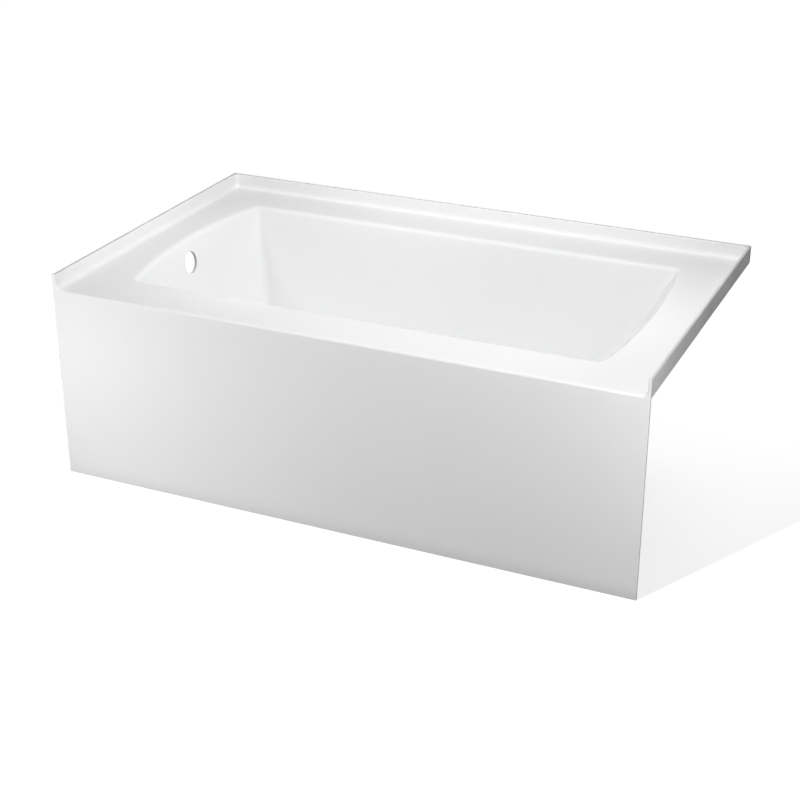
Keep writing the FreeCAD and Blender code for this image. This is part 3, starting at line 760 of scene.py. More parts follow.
def thread_tree() -> bpy.types.NodeTree:
    """A closed bar with a right-handed thread round it, standing on the XY plane."""
    crest, root, last_row = 0.06, 0.44, 0.49999
    writer, takes, gives = new_group(
        "threaded_bar", "GeometryNodeTree",
        {"Radius": ("NodeSocketFloat", 6.0 * MM), "Pitch": ("NodeSocketFloat", 1.75 * MM),
         "Depth": ("NodeSocketFloat", 1.0 * MM), "Length": ("NodeSocketFloat", 70.0 * MM),
         "Taper": ("NodeSocketFloat", 1.5 * MM), "Around": ("NodeSocketInt", 28),
         "Rows": ("NodeSocketInt", 320), "Material": ("NodeSocketMaterial", None)},
        {"Geometry": "NodeSocketGeometry"})
    grid = writer.add("GeometryNodeMeshGrid", {
        "Size X": 1.0, "Size Y": 1.0, "Vertices X": takes["Around"],
        "Vertices Y": takes["Rows"]})
    place = writer.add("ShaderNodeSeparateXYZ", {
        0: writer.add("GeometryNodeInputPosition").outputs[0]})
    turn = writer.math("ADD", place.outputs["X"], 0.5)
    rise = writer.math("ADD", place.outputs["Y"], 0.5)
    height = writer.math("MULTIPLY", rise, takes["Length"])
    wave = writer.math("SUBTRACT", writer.math("DIVIDE", height, takes["Pitch"]), turn)
    ridge = writer.math("PINGPONG", wave, 0.5)
    flattened = writer.add("ShaderNodeMapRange", {
        "Value": ridge, "From Min": crest, "From Max": root})
    from_end = writer.math("SUBTRACT", takes["Length"], height)
    chamfer = writer.add("ShaderNodeMapRange", {
        "Value": from_end, "From Max": takes["Taper"], "To Min": takes["Depth"],
        "To Max": 0.0})
    groove = writer.math("MULTIPLY", flattened.outputs[0], takes["Depth"])
    sunk = writer.math("MAXIMUM", groove, chamfer.outputs[0])
    radius = writer.math("SUBTRACT", takes["Radius"], sunk)
    from_middle = writer.math("ABSOLUTE", place.outputs["Y"])
    off_end = writer.math("LESS_THAN", from_middle, last_row)
    closed = writer.math("MULTIPLY", radius, off_end)
    angle = writer.math("MULTIPLY", turn, 2 * math.pi)
    spot = writer.add("ShaderNodeCombineXYZ", {
        0: writer.math("MULTIPLY", closed, writer.math("COSINE", angle)),
        1: writer.math("MULTIPLY", closed, writer.math("SINE", angle)), 2: height})
    shaped = writer.add("GeometryNodeSetPosition", {
        "Geometry": grid.outputs[0], "Position": spot.outputs[0]})
    welded = writer.add("GeometryNodeMergeByDistance", {
        "Geometry": shaped.outputs[0], "Distance": WELD})
    end_in_material(writer, welded.outputs[0], takes["Material"], gives["Geometry"])
    return writer.tree


def copies_tree() -> bpy.types.NodeTree:
    """A copy of one piece at each point of the base mesh, turned as the point says."""
    writer, takes, gives = new_group(
        "copies_at_points", "GeometryNodeTree",
        {"Geometry": ("NodeSocketGeometry", None), "Piece": ("NodeSocketObject", None),
         "Material": ("NodeSocketMaterial", None)},
        {"Geometry": "NodeSocketGeometry"})
    piece = writer.add("GeometryNodeObjectInfo", {"Object": takes["Piece"]})
    turn = writer.add("GeometryNodeInputNamedAttribute", {"Name": "turn"},
                      data_type="FLOAT_VECTOR")
    copies = writer.add("GeometryNodeInstanceOnPoints", {
        "Points": takes["Geometry"], "Instance": piece.outputs["Geometry"],
        "Rotation": turn.outputs[0]})
    end_in_material(writer, copies.outputs[0], takes["Material"], gives["Geometry"])
    return writer.tree


# ------------------------------------------------------------------ the shell


@dataclass
class ShellForm:
    """The tub's shape: each face of its two layers is this form at some depth.

    The depth is how far a face lies behind the visible one.  The outer sizes come from
    the frame's two layers; the other sizes are the mould's own.
    """

    low: Vector = field(default_factory=lambda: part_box("acrylic_shell")[0])
    high: Vector = field(default_factory=lambda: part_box("acrylic_shell")[1])
    rear: float = field(default_factory=lambda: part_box("fibreglass_laminate")[1].y)
    deck: float = 508 * MM
    flange_wall: float = 8.5 * MM
    cove: float = 12 * MM
    outer_edge: float = 3 * MM
    front_round: float = 6 * MM
    rim_front: float = 128 * MM
    rim_back: float = 132 * MM
    rim_end: float = 142 * MM
    drain_bow: tuple[float, float] = (45 * MM, 25 * MM)
    rest_bow: tuple[float, float] = (26 * MM, 16 * MM)
    lip: float = 12 * MM
    floor: float = 128 * MM
    drain_tilt: float = math.radians(7)
    rest_tilt: float = math.radians(30)
    side_tilt: float = math.radians(8)
    corner_top: float = 12 * MM
    corner_low: float = 34 * MM
    corner_floor: float = 60 * MM
    blend: float = 50 * MM
    side_steps: int = 48
    corner_steps: int = 12
    end_steps: int = 40
    lip_steps: int = 12
    wall_steps: int = 18
    blend_steps: int = 16
    floor_steps: int = 7
    deck_steps: int = 7
    cove_steps: int = 9
    fan_steps: int = 9
    round_steps: int = 7
    apron_steps: int = 14

    def cove_radius(self, depth: float) -> float:
        """The radius between deck and flange; the backing's own face has a plain edge."""
        is_outside = depth > self.flange_wall - WELD
        return self.outer_edge if is_outside else self.cove + depth

    def cove_line(self, depth: float) -> tuple[float, float]:
        """Where the flat deck ends at the side and back coves."""
        inset = self.flange_wall - depth + self.cove_radius(depth)
        return self.high.x - inset, self.rear - inset

    def wall_inset(self, level: float, tilt: float, depth: float) -> float:
        """How far a basin wall stands in from the start of the lip, at one level."""
        lip = self.lip - depth
        lip_centre = self.deck - self.lip
        if level >= lip_centre + lip * math.sin(tilt):
            rise = max(-lip, min(level - lip_centre, lip))
            return math.sqrt(max(lip * lip - rise * rise, 0.0))
        blend = self.blend + depth
        blend_centre = self.floor + self.blend
        if level >= blend_centre - blend * math.sin(tilt):
            return (lip_centre - level) * math.tan(tilt) + lip / math.cos(tilt)
        centre = (lip_centre - blend_centre) * math.tan(tilt) + (lip + blend) / math.cos(tilt)
        drop = min(blend_centre - level, blend)
        return centre - math.sqrt(blend * blend - drop * drop)

    def corner_radius(self, level: float, depth: float) -> float:
        """The plan radius of the basin's upright corners, which grows downwards."""
        top, low = self.deck - self.lip, self.floor + self.blend
        if level >= top:
            return self.corner_top + depth
        if level >= low:
            share = (top - level) / (top - low)
            return self.corner_top + (self.corner_low - self.corner_top) * share + depth
        share = min((low - level) / self.blend, 1.0) ** 2
        return self.corner_low + (self.corner_floor - self.corner_low) * share + depth

    def bow_at(self, bow: tuple[float, float], level: float) -> float:
        """How far one end of the basin bows outwards in plan, at one level."""
        share = min(max((self.deck - level) / (self.deck - self.floor), 0.0), 1.0)
        return bow[0] + (bow[1] - bow[0]) * share

    def outline(self, level: float, depth: float) -> np.ndarray:
        """The basin's outline in plan at one level, from the right end round.

        Args:
            level: The height of the outline.
            depth: How far behind the visible face it lies.

        Returns:
            One row of x and y for each station.
        """
        side = self.wall_inset(level, self.side_tilt, depth)
        front = self.low.y + self.rim_front + side
        back = self.rear - self.rim_back - side
        half = self.high.x - self.rim_end
        middle, span = (front + back) / 2, (back - front) / 2
        radius = self.corner_radius(level, depth)

        def end(reach: float, bow: float) -> np.ndarray:
            """One end from its front corner to its back corner, reaching outwards."""
            arc = (span * span + bow * bow) / (2 * bow)
            centre = reach + bow - arc
            along = math.sqrt((arc - radius) ** 2 - (span - radius) ** 2)
            turn = math.atan2(span - radius, along)
            fan = np.linspace(-math.pi / 2, -turn, self.corner_steps + 1)
            corner = np.stack([centre + along + radius * np.cos(fan),
                               -(span - radius) + radius * np.sin(fan)], 1)
            sweep = np.linspace(-turn, turn, self.end_steps + 1)[1:-1]
            face = np.stack([centre + arc * np.cos(sweep), arc * np.sin(sweep)], 1)
            return np.vstack([corner, face, corner[::-1] * [1, -1]])

        right = end(half - self.wall_inset(level, self.rest_tilt, depth),
                    self.bow_at(self.rest_bow, level))
        left = end(half - self.wall_inset(level, self.drain_tilt, depth),
                   self.bow_at(self.drain_bow, level)) * [-1, 1]
        left = left[::-1]
        share = shares(self.side_steps)[1:-1, None]
        rear_side = right[-1] * (1 - share) + left[0] * share
        front_side = left[-1] * (1 - share) + right[0] * share
        return np.vstack([right, rear_side, left, front_side]) + [0, middle]

    @property
    def corners(self) -> list[int]:
        """The stations at the four corners: right front, right back, left back, left front."""
        end = 2 * (self.corner_steps + 1) + self.end_steps - 1
        half = self.corner_steps // 2
        first = [half, end - 1 - half]
        step = end + self.side_steps - 1
        return first + [first[0] + step, first[1] + step]

    def deck_frame(self, outline: np.ndarray, depth: float) -> np.ndarray:
        """The flat deck's outer rectangle, one point for each station of the outline."""
        side, back = self.cove_line(depth)
        front = self.front_line(depth)
        rectangle = [(side, front), (side, back), (-side, back), (-side, front)]
        count = len(outline)
        points = np.zeros_like(outline)
        marks = self.corners
        for number, start in enumerate(marks):
            finish = marks[(number + 1) % 4]
            run = [(start + k) % count for k in range((finish - start) % count + 1)]
            steps = np.linalg.norm(np.diff(outline[run], axis=0), axis=1)
            share = np.concatenate([[0], np.cumsum(steps)])[:, None] / steps.sum()
            first, last = np.array(rectangle[number]), np.array(rectangle[(number + 1) % 4])
            points[run] = first * (1 - share) + last * share
        return points

    def rounding(self, depth: float) -> float:
        """The radius of the edge over the apron, at one depth."""
        return max(self.front_round - depth, 0.0)

    def front_line(self, depth: float) -> float:
        """Where the deck ends and the front edge's rounding starts."""
        return self.low.y + depth + self.rounding(depth)

    def rings(self, depth: float) -> np.ndarray:
        """Closed rings of stations, from the middle of the floor out to the deck's edge."""
        blend, lip = self.blend + depth, self.lip - depth
        blend_centre, lip_centre = self.floor + self.blend, self.deck - self.lip
        floor_level = blend_centre - blend
        floor = self.outline(floor_level, depth)
        centre = floor.mean(axis=0)
        rings = []
        for share in shares(self.floor_steps)[:-1]:
            rings.append((centre + (floor - centre) * share, floor_level))
        levels = list(blend_centre - blend * np.cos(quarter(self.blend_steps)))
        levels += list(blend_centre + (lip_centre - blend_centre)
                       * shares(self.wall_steps)[1:])
        levels += list(lip_centre + lip * np.sin(quarter(self.lip_steps)[1:]))
        rings += [(self.outline(level, depth), level) for level in levels]
        edge, level = rings[-1]
        border = self.deck_frame(edge, depth)
        for share in shares(self.deck_steps)[1:]:
            rings.append((edge * (1 - share) + border * share, level))
        return np.stack([np.column_stack([plan, np.full(len(plan), level)])
                         for plan, level in rings])

    def flange_section(self, depth: float) -> list[tuple[float, float, float, float]]:
        """The cove and flange in section: reach, height and the way into the material."""
        cove = self.cove_radius(depth)
        centre = self.deck - depth + cove
        points = []
        for turn in quarter(self.cove_steps):
            points.append((cove * math.sin(turn), centre - cove * math.cos(turn),
                           math.sin(turn), -math.cos(turn)))
        for share in (0.5, 1.0):
            points.append((cove, centre + (self.high.z - centre) * share, 1.0, 0.0))
        return points

    def flange_rows(self, border: np.ndarray, depth: float) -> np.ndarray:
        """The coves and the flange's inner faces, round three sides of the deck."""
        marks = self.corners
        path, normals = [], []
        for number in range(3):
            run = border[marks[number]:marks[number + 1] + 1]
            away = np.array([(1, 0), (0, 1), (-1, 0)][number], float)
            path += list(run)
            normals += [away] * len(run)
            if number < 2:
                heading = math.pi / 2 * number
                for turn in quarter(self.fan_steps)[1:-1]:
                    path.append(run[-1])
                    normals.append(np.array([math.cos(heading + turn),
                                             math.sin(heading + turn)]))
        path, normals = np.array(path), np.array(normals)
        rows = []
        for reach, height, _, _ in self.flange_section(depth):
            rows.append(np.column_stack([path + normals * reach,
                                         np.full(len(path), height)]))
        return np.stack(rows)

    def rim_level(self, share: float) -> float:
        """The height on the apron's side that a point of the cove is joined to."""
        top = self.deck + self.cove
        return top + (self.low.z - top) * share

    def front_chain(self, border: np.ndarray, depth: float) -> tuple[np.ndarray, ...]:
        """The edge chain over the apron: down one flange end, along the deck and up.

        Args:
            border: The deck's outer edge, one point for each station.
            depth: How far behind the visible face it lies.

        Returns:
            Points across and up, ways into the material, and points of the front's rim.
        """
        side, _ = self.cove_line(depth)
        section = self.flange_section(depth)
        marks = self.corners
        count = len(border)
        along = [border[(marks[3] + k) % count][0]
                 for k in range((marks[0] - marks[3]) % count + 1)][::-1]
        half = self.high.x
        straight = len(section) - self.cove_steps
        points, normals, rims = [], [], []
        for place, (reach, height, across, up) in enumerate(section[::-1]):
            points.append((side + reach, height))
            normals.append((across, up))
            share = (place - straight + 1) / self.cove_steps
            rims.append((half, height if place < straight else self.rim_level(share)))
        for x in along[1:-1]:
            points.append((x, self.deck - depth))
            normals.append((0.0, -1.0))
            rims.append((x * half / side, self.low.z))
        for point, normal, rim in list(zip(points, normals, rims))[len(section) - 1::-1]:
            points.append((-point[0], point[1]))
            normals.append((-normal[0], normal[1]))
            rims.append((-rim[0], rim[1]))
        return np.array(points), np.array(normals), np.array(rims)

    def front_rows(self, border: np.ndarray, depth: float) -> np.ndarray:
        """The rounding over the apron, then the apron itself, as rows of the chain."""
        points, normals, rims = self.front_chain(border, depth)
        radius, plane = self.rounding(depth), self.low.y + depth
        rows = []
        for turn in quarter(self.round_steps):
            moved = points + normals * radius * (1 - math.cos(turn))
            y = plane + radius * (1 - math.sin(turn))
            rows.append(np.column_stack([moved[:, 0], np.full(len(moved), y), moved[:, 1]]))
        edge = points + normals * radius
        for share in shares(self.apron_steps)[1:]:
            flat = edge * (1 - share) + rims * share
            rows.append(np.column_stack([flat[:, 0], np.full(len(flat), plane), flat[:, 1]]))
        return np.stack(rows)

    def face(self, depth: float) -> tuple[np.ndarray, list[tuple[int, ...]]]:
        """Every vertex and quad of the form at one depth, not yet welded."""
        rings = self.rings(depth)
        border = rings[-1][:, :2]
        grids = [(rings, True), (self.flange_rows(border, depth), False),
                 (self.front_rows(border, depth), False)]
        vertices, faces = [], []
        for grid, closed in grids:
            rows, columns = grid.shape[:2]
            faces += grid_faces(rows, columns, closed, sum(map(len, vertices)))
            vertices.append(grid.reshape(-1, 3))
        return np.vstack(vertices), faces

    def layer(self, name: str, front_depth: float, back_depth: float) -> bpy.types.Object:
        """A closed layer between two depths.

        Args:
            name: The layer's name.
            front_depth: How far its front lies behind the visible face.
            back_depth: How far its back lies behind the visible face.

        Returns:
            The layer as one closed mesh.
        """
        pattern, faces = self.face(0.0)
        keys = np.round(pattern / WELD).astype(np.int64)
        _, first, same = np.unique(keys, axis=0, return_index=True, return_inverse=True)
        weld = first[same.ravel()]
        welded = [drop_repeats([int(weld[v]) for v in quad]) for quad in faces]
        welded = [face for face in welded if len(face) > 2]
        front, back = self.face(front_depth)[0], self.face(back_depth)[0]
        count = len(front)
        sheet = welded + [tuple(v + count for v in face[::-1]) for face in welded]
        rim = [(a, b, b + count, a + count) for a, b in open_edges(welded)]
        return mesh_object(name, np.vstack([front, back]), sheet + rim)


def drop_repeats(face: Sequence[int]) -> tuple[int, ...]:
    """A face without the vertices that were welded to their neighbours."""
    kept = [v for i, v in enumerate(face) if v != face[i - 1]]
    return tuple(dict.fromkeys(kept))


def open_edges(faces: Iterable[Sequence[int]]) -> list[tuple[int, int]]:
    """The edges that only one face uses, in that face's own direction."""
    used: dict[tuple[int, int], tuple[int, int] | None] = {}
    for face in faces:
        for i, v in enumerate(face):
            edge = (face[i - 1], v)
            key = (min(edge), max(edge))
            used[key] = None if key in used else edge
    return [edge for edge in used.values() if edge]


@dataclass
class Shell:
    """The acrylic skin and the fibreglass sprayed on its back."""

    form: ShellForm
    acrylic_wall: float = 3.5 * MM
    drain_radius: float = 26 * MM
    drain_x: float = -447 * MM
    overflow_radius: float = 30 * MM
    overflow_level: float = 443 * MM
    trimmed_edge: float = 0.5 * MM
    sprayed_edge: float = 0.9 * MM
    drill_reach: float = 40 * MM

    def drills(self, layer: str) -> list[bpy.types.Object]:
        """Cutters for the waste hole and the overflow hole."""
        form = self.form
        middle = (form.rim_front - form.rim_back) / 2
        reach = (form.high.x - form.rim_end
                 + form.bow_at(form.drain_bow, self.overflow_level)
                 - form.wall_inset(self.overflow_level, form.drain_tilt, 0.0))
        square = Vector((math.cos(form.drain_tilt), 0, math.sin(form.drain_tilt)))
        overflow = Vector((-reach, middle, self.overflow_level))
        drain = Vector((self.drain_x, middle, form.floor))
        rise = Vector((0, 0, self.drill_reach))
        return [rod(layer + "_drain_drill", drain - rise, drain + rise, self.drain_radius),
                rod(layer + "_overflow_drill", overflow - square * self.drill_reach,
                    overflow + square * self.drill_reach, self.overflow_radius)]

    def build(self, finishes: Finishes, paint: Paint) -> None:
        """Make both layers, drill them, trim their edges and dress them."""
        skin = self.form.layer("acrylic_skin", 0.0, self.acrylic_wall)
        cut(skin, self.drills("skin"))
        bevel(skin, self.trimmed_edge)
        smooth(skin)
        dress(skin, finishes.acrylic, paint, "root", ["acrylic_shell"])
        backing = self.form.layer("sprayed_backing", self.acrylic_wall,
                                  self.form.flange_wall)
        cut(backing, self.drills("backing"))
        bevel(backing, self.sprayed_edge)
        smooth(backing)
        dress(backing, finishes.fibreglass, paint, "root", ["fibreglass_laminate"])


# ------------------------------------------------------------------ wood and rails


def finished_copy(node: str, name: str, edge: float, segments: int = 2) -> bpy.types.Object:
    """A welded copy of a frame node with its hard edges eased.

    Args:
        node: The frame node to copy.
        name: The new piece's name.
        edge: How far each hard edge is eased.
        segments: How many facets each eased edge has.

    Returns:
        The new piece.
    """
    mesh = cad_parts[node].data.copy()
    cage = welded_cage(mesh)
    bmesh.ops.dissolve_limit(cage, angle_limit=FLAT_UNDER, verts=cage.verts,
                             edges=cage.edges)
    keep(cage, mesh)
    piece = placed(name, mesh)
    bevel(piece, edge, segments)
    smooth(piece)
    return piece


@dataclass
class Woodwork:
    """The battens and board that stiffen the shell."""

    eased: float = 1.2 * MM
    along: dict[str, str] = field(default_factory=lambda: {
        "front_rim_batten": "X", "back_rim_batten": "X", "drain_end_batten": "Y",
        "backrest_end_batten": "Y", "drain_end_stiffener": "Z",
        "middle_stiffener": "Z", "backrest_end_stiffener": "Z", "apron_kick_batten": "X"})

    def build(self, finishes: Finishes, paint: Paint) -> None:
        """Ease and dress each piece of wood."""
        for node, axis in self.along.items():
            piece = finished_copy(node, node + "_pine", self.eased)
            dress(piece, finishes.softwood(axis), paint, "root", [node])
        low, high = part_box("bottom_board")
        board = finished_copy("bottom_board", "bottom_board_ply", self.eased / 2)
        dress(board, finishes.plywood(low.z, high.z), paint, "root", ["bottom_board"])


@dataclass
class RailSet:
    """The steel rails, their end caps and the angle brackets."""

    rail_edge: float = 0.9 * MM
    bracket_edge: float = 0.4 * MM
    cap_edge: float = 0.8 * MM
    sides: tuple[str, ...] = ("drain_end", "backrest_end")

    def build(self, finishes: Finishes, paint: Paint) -> None:
        """Round and dress each piece of steel, and the plastic caps."""
        for side in self.sides:
            rail = finished_copy(side + "_rail", side + "_rail_steel", self.rail_edge, 3)
            dress(rail, finishes.steel, paint, "root", [side + "_rail"])
            bracket = finished_copy(side + "_bracket", side + "_bracket_steel",
                                    self.bracket_edge)
            dress(bracket, finishes.steel, paint, "root", [side + "_bracket"])
        caps = finished_copy("rail_caps", "rail_end_caps", self.cap_edge, 3)
        dress(caps, finishes.plastic, paint, "root", ["rail_caps"])


# ------------------------------------------------------------------ turned hardware


END_FACE = 0.97
CHAMFER_TILT = math.radians(60)


def turned(name: str, rows: Sequence[Row], around: int = 96) -> bpy.types.Object:
    """A closed piece turned about Z from rows of height and radius.

    Args:
        name: The piece's name.
        rows: Each a height, and the radius as a function of the angle round the axis.
        around: How many stations go round.

    Returns:
        The piece, its axis on the Z axis.
    """
    angles = np.arange(around) * 2 * math.pi / around
    grid = [np.column_stack([radius(angles) * np.cos(angles),
                             radius(angles) * np.sin(angles),
                             np.full(around, height)]) for height, radius in rows]
    faces = grid_faces(len(rows), around, True)
    return mesh_object(name, np.vstack(grid), faces)


def circle(radius: float) -> Radius:
    """The same radius all round."""
    return lambda angles: np.full(len(angles), radius)


def rounded_top(top: float, radius: float, soft: float) -> list[Row]:
    """Rows over the upper outer edge of a turned piece, rounded by a radius."""
    return [(top - soft + soft * math.sin(turn),
             circle(radius - soft * (1 - math.cos(turn)))) for turn in quarter(4)]


def hexagon(flats: float, limit: float) -> Radius:
    """A hexagon with flats towards Y, cut to a circle where that is smaller."""
    def radius(angles: np.ndarray) -> np.ndarray:
        """The radius at each angle."""
        from_flat = angles % (math.pi / 3) - math.pi / 6
        return np.minimum(flats / 2 / np.cos(from_flat), limit)
    return radius


def hexagon_rows(flats: float, low: float, high: float, chamfer: float,
                 inner: float = 0.0, steps: int = 6) -> list[Row]:
    """Rows of a hexagonal piece with chamfered corners and a bore or closed ends."""
    edge = flats / 2 * END_FACE
    slope = math.tan(CHAMFER_TILT)
    ends = [0.0] + [chamfer * (k + 1) / steps for k in range(steps)]
    rows: list[Row] = [(low, circle(inner))]
    rows += [(low + d, hexagon(flats, edge + slope * d)) for d in ends]
    rows += [(high - d, hexagon(flats, edge + slope * d)) for d in ends[::-1]]
    return rows + [(high, circle(inner))]


@dataclass
class Hardware:
    """Sizes that every metric thread and wood screw here shares."""

    thread_radius: float = 6 * MM
    thread_pitch: float = 1.75 * MM
    thread_depth: float = 1.05 * MM
    nut_flats: float = 19 * MM
    nut_chamfer: float = 1.0 * MM
    bore_radius: float = 5.15 * MM
    bore_flat: float = 0.15
    screw_radius: float = 2.5 * MM
    screw_pitch: float = 2.2 * MM
    screw_depth: float = 0.7 * MM
    head_radius: float = 5 * MM
    head_high: float = 3 * MM
    head_flank: float = 0.25
    head_crown: float = 0.35
    recess_half: float = 2.6 * MM
    recess_wide: float = 0.55 * MM
    recess_deep: float = 1.9 * MM
    recess_clear: float = 1.0 * MM
    recess_taper: tuple[float, float] = (0.4, 0.6)
    rows_per_turn: int = 8

    def thread(self, name: str, tree: bpy.types.NodeTree, radius: float, pitch: float,
               depth: float, length: float, taper: float, around: int = 28) -> bpy.types.Object:
        """A threaded bar of a length, standing on the XY plane."""
        rows = int(length / pitch * self.rows_per_turn) + 1
        return grow(name, tree, {
            "Radius": radius, "Pitch": pitch, "Depth": depth, "Length": length,
            "Taper": taper, "Around": around, "Rows": rows})

    def nut(self, name: str, high: float) -> bpy.types.Object:
        """A hexagon nut with chamfered corners and a threaded bore, from Z 0 up."""
        rows = hexagon_rows(self.nut_flats, 0.0, high, self.nut_chamfer,
                            self.bore_radius + self.thread_depth)
        turns = high / self.thread_pitch
        steps = int(turns * self.rows_per_turn)

        def ridge(level: float) -> Radius:
            """The bore's radius round one level of the thread."""
            def radius(angles: np.ndarray) -> np.ndarray:
                """The radius at each angle."""
                wave = level / self.thread_pitch - angles / (2 * math.pi)
                share = np.abs((wave % 1.0) - 0.5) * 2
                cut_in = np.clip(share * (1 + 2 * self.bore_flat) - self.bore_flat, 0, 1)
                return self.bore_radius + self.thread_depth * cut_in
            return radius

        bore = [(high * (1 - k / steps), ridge(high * (1 - k / steps)))
                for k in range(1, steps)]
        return turned(name, rows + bore + rows[:1], 72)

    def screw(self, name: str, tree: bpy.types.NodeTree, length: float) -> bpy.types.Object:
        """A pan-head screw with a cross recess; its shank points up from Z 0."""
        rows: list[Row] = [(0.0, circle(0.0)), (0.0, circle(self.head_radius))]
        for turn in quarter(7)[1:]:
            high = self.head_flank + (1 - self.head_flank) * math.sin(turn)
            wide = self.head_crown + (1 - self.head_crown) * math.cos(turn)
            rows.append((-self.head_high * high, circle(self.head_radius * wide)))
        rows.append((-self.head_high, circle(0.0)))
        head = turned(name + "_head", rows, 40)
        cut(head, [self.cross(name + "_cross", turn) for turn in (0.0, math.pi / 2)])
        shank = self.thread(name + "_shank", tree, self.screw_radius, self.screw_pitch,
                            self.screw_depth, length, self.screw_radius * 2, 20)
        return joined(name, [head, shank])

    def cross(self, name: str, turn: float) -> bpy.types.Object:
        """One arm of the driver's cross recess, to cut with."""
        half, wide = self.recess_half, self.recess_wide
        rim = np.array([(half, wide), (half, -wide), (-half, -wide), (-half, wide)])
        levels = -self.head_high - self.recess_clear, -self.head_high + self.recess_deep
        arm = np.vstack([np.column_stack([rim * taper, np.full(4, level)])
                         for taper, level in zip((1.0, self.recess_taper), levels)])
        spin = np.array(Matrix.Rotation(turn, 3, "Z"))
        faces = [(0, 1, 2, 3), (4, 7, 6, 5), (0, 4, 5, 1), (1, 5, 6, 2), (2, 6, 7, 3),
                 (3, 7, 4, 0)]
        return mesh_object(name, arm @ spin.T, faces)


def joined(name: str, pieces: Sequence[bpy.types.Object]) -> bpy.types.Object:
    """One object with the meshes of several, which are deleted."""
    cage = bmesh.new()
    for piece in pieces:
        cage.from_mesh(piece.data)
    mesh = bpy.data.meshes.new(name)
    keep(cage, mesh)
    for piece in pieces:
        bpy.data.objects.remove(piece)
    return placed(name, mesh)


def shift(piece: bpy.types.Object, offset: Sequence[float]) -> bpy.types.Object:
    """Move a piece's mesh, leaving its object at the origin."""
    piece.data.transform(Matrix.Translation(Vector(offset)))
    return piece


def solid_places(node: str) -> list[tuple[Vector, Vector]]:
    """The lowest and highest corner of each separate solid of a frame node."""
    cage = welded_cage(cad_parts[node].data)
    waiting = set(cage.verts)
    boxes = []
    while waiting:
        found, edge = set(), [waiting.pop()]
        while edge:
            vertex = edge.pop()
            found.add(vertex)
            near = {e.other_vert(vertex) for e in vertex.link_edges} & waiting
            waiting -= near
            edge += near
        corners = np.array([v.co for v in found])
        boxes.append((Vector(corners.min(0)), Vector(corners.max(0))))
    cage.free()
    return sorted(boxes, key=lambda box: tuple(round(c, 4) for c in box[0]))


@dataclass
class Fasteners:
    """The screws and the fixed nuts: one piece of each kind, copied to its places."""

    hardware: Hardware
    thread: bpy.types.NodeTree
    copies: bpy.types.NodeTree

    def spread(self, name: str, pattern: bpy.types.Object, places: Sequence[Place],
               turn: Place, material: bpy.types.Material) -> bpy.types.Object:
        """Copies of a pattern piece at each place, as one plain mesh."""
        base = bpy.data.meshes.new(name + "_places")
        base.from_pydata([tuple(place) for place in places], [], [])
        attribute = base.attributes.new("turn", "FLOAT_VECTOR", "POINT")
        attribute.data.foreach_set("vector", list(turn) * len(places))
        piece = grow(name, self.copies, {"Piece": pattern, "Material": material}, base)
        bpy.data.objects.remove(pattern)
        smooth(piece)
        return piece

    def build(self, finishes: Finishes, paint: Paint) -> None:
        """Make the three groups of screws and the nuts inside the rails."""
        head = self.hardware.head_high
        upright, level = (0.0, 0.0, 0.0), (math.pi / 2, 0.0, 0.0)
        groups = [("rail_screws", "board_screws", upright),
                  ("bracket_rail_screws", "lap_screws", upright),
                  ("bracket_wood_screws", "batten_screws", level),
                  ("rail_nuts", "fixed_rail_nuts", upright)]
        for node, name, turn in groups:
            boxes = solid_places(node)
            start, end = boxes[0]
            deep, high_up = end.y - start.y, end.z - start.z
            if node == "rail_nuts":
                pattern = self.hardware.nut(name + "_pattern", high_up)
                places = [((low.x + high.x) / 2, (low.y + high.y) / 2, low.z)
                          for low, high in boxes]
            elif turn == level:
                pattern = self.hardware.screw(name + "_pattern", self.thread, deep - head)
                places = [((low.x + high.x) / 2, high.y - head, (low.z + high.z) / 2)
                          for low, high in boxes]
            else:
                pattern = self.hardware.screw(name + "_pattern", self.thread, high_up - head)
                places = [((low.x + high.x) / 2, (low.y + high.y) / 2, low.z + head)
                          for low, high in boxes]
            piece = self.spread(name, pattern, places, turn, paint.of(finishes.zinc))
            dress(piece, finishes.zinc, paint, "root", [node])


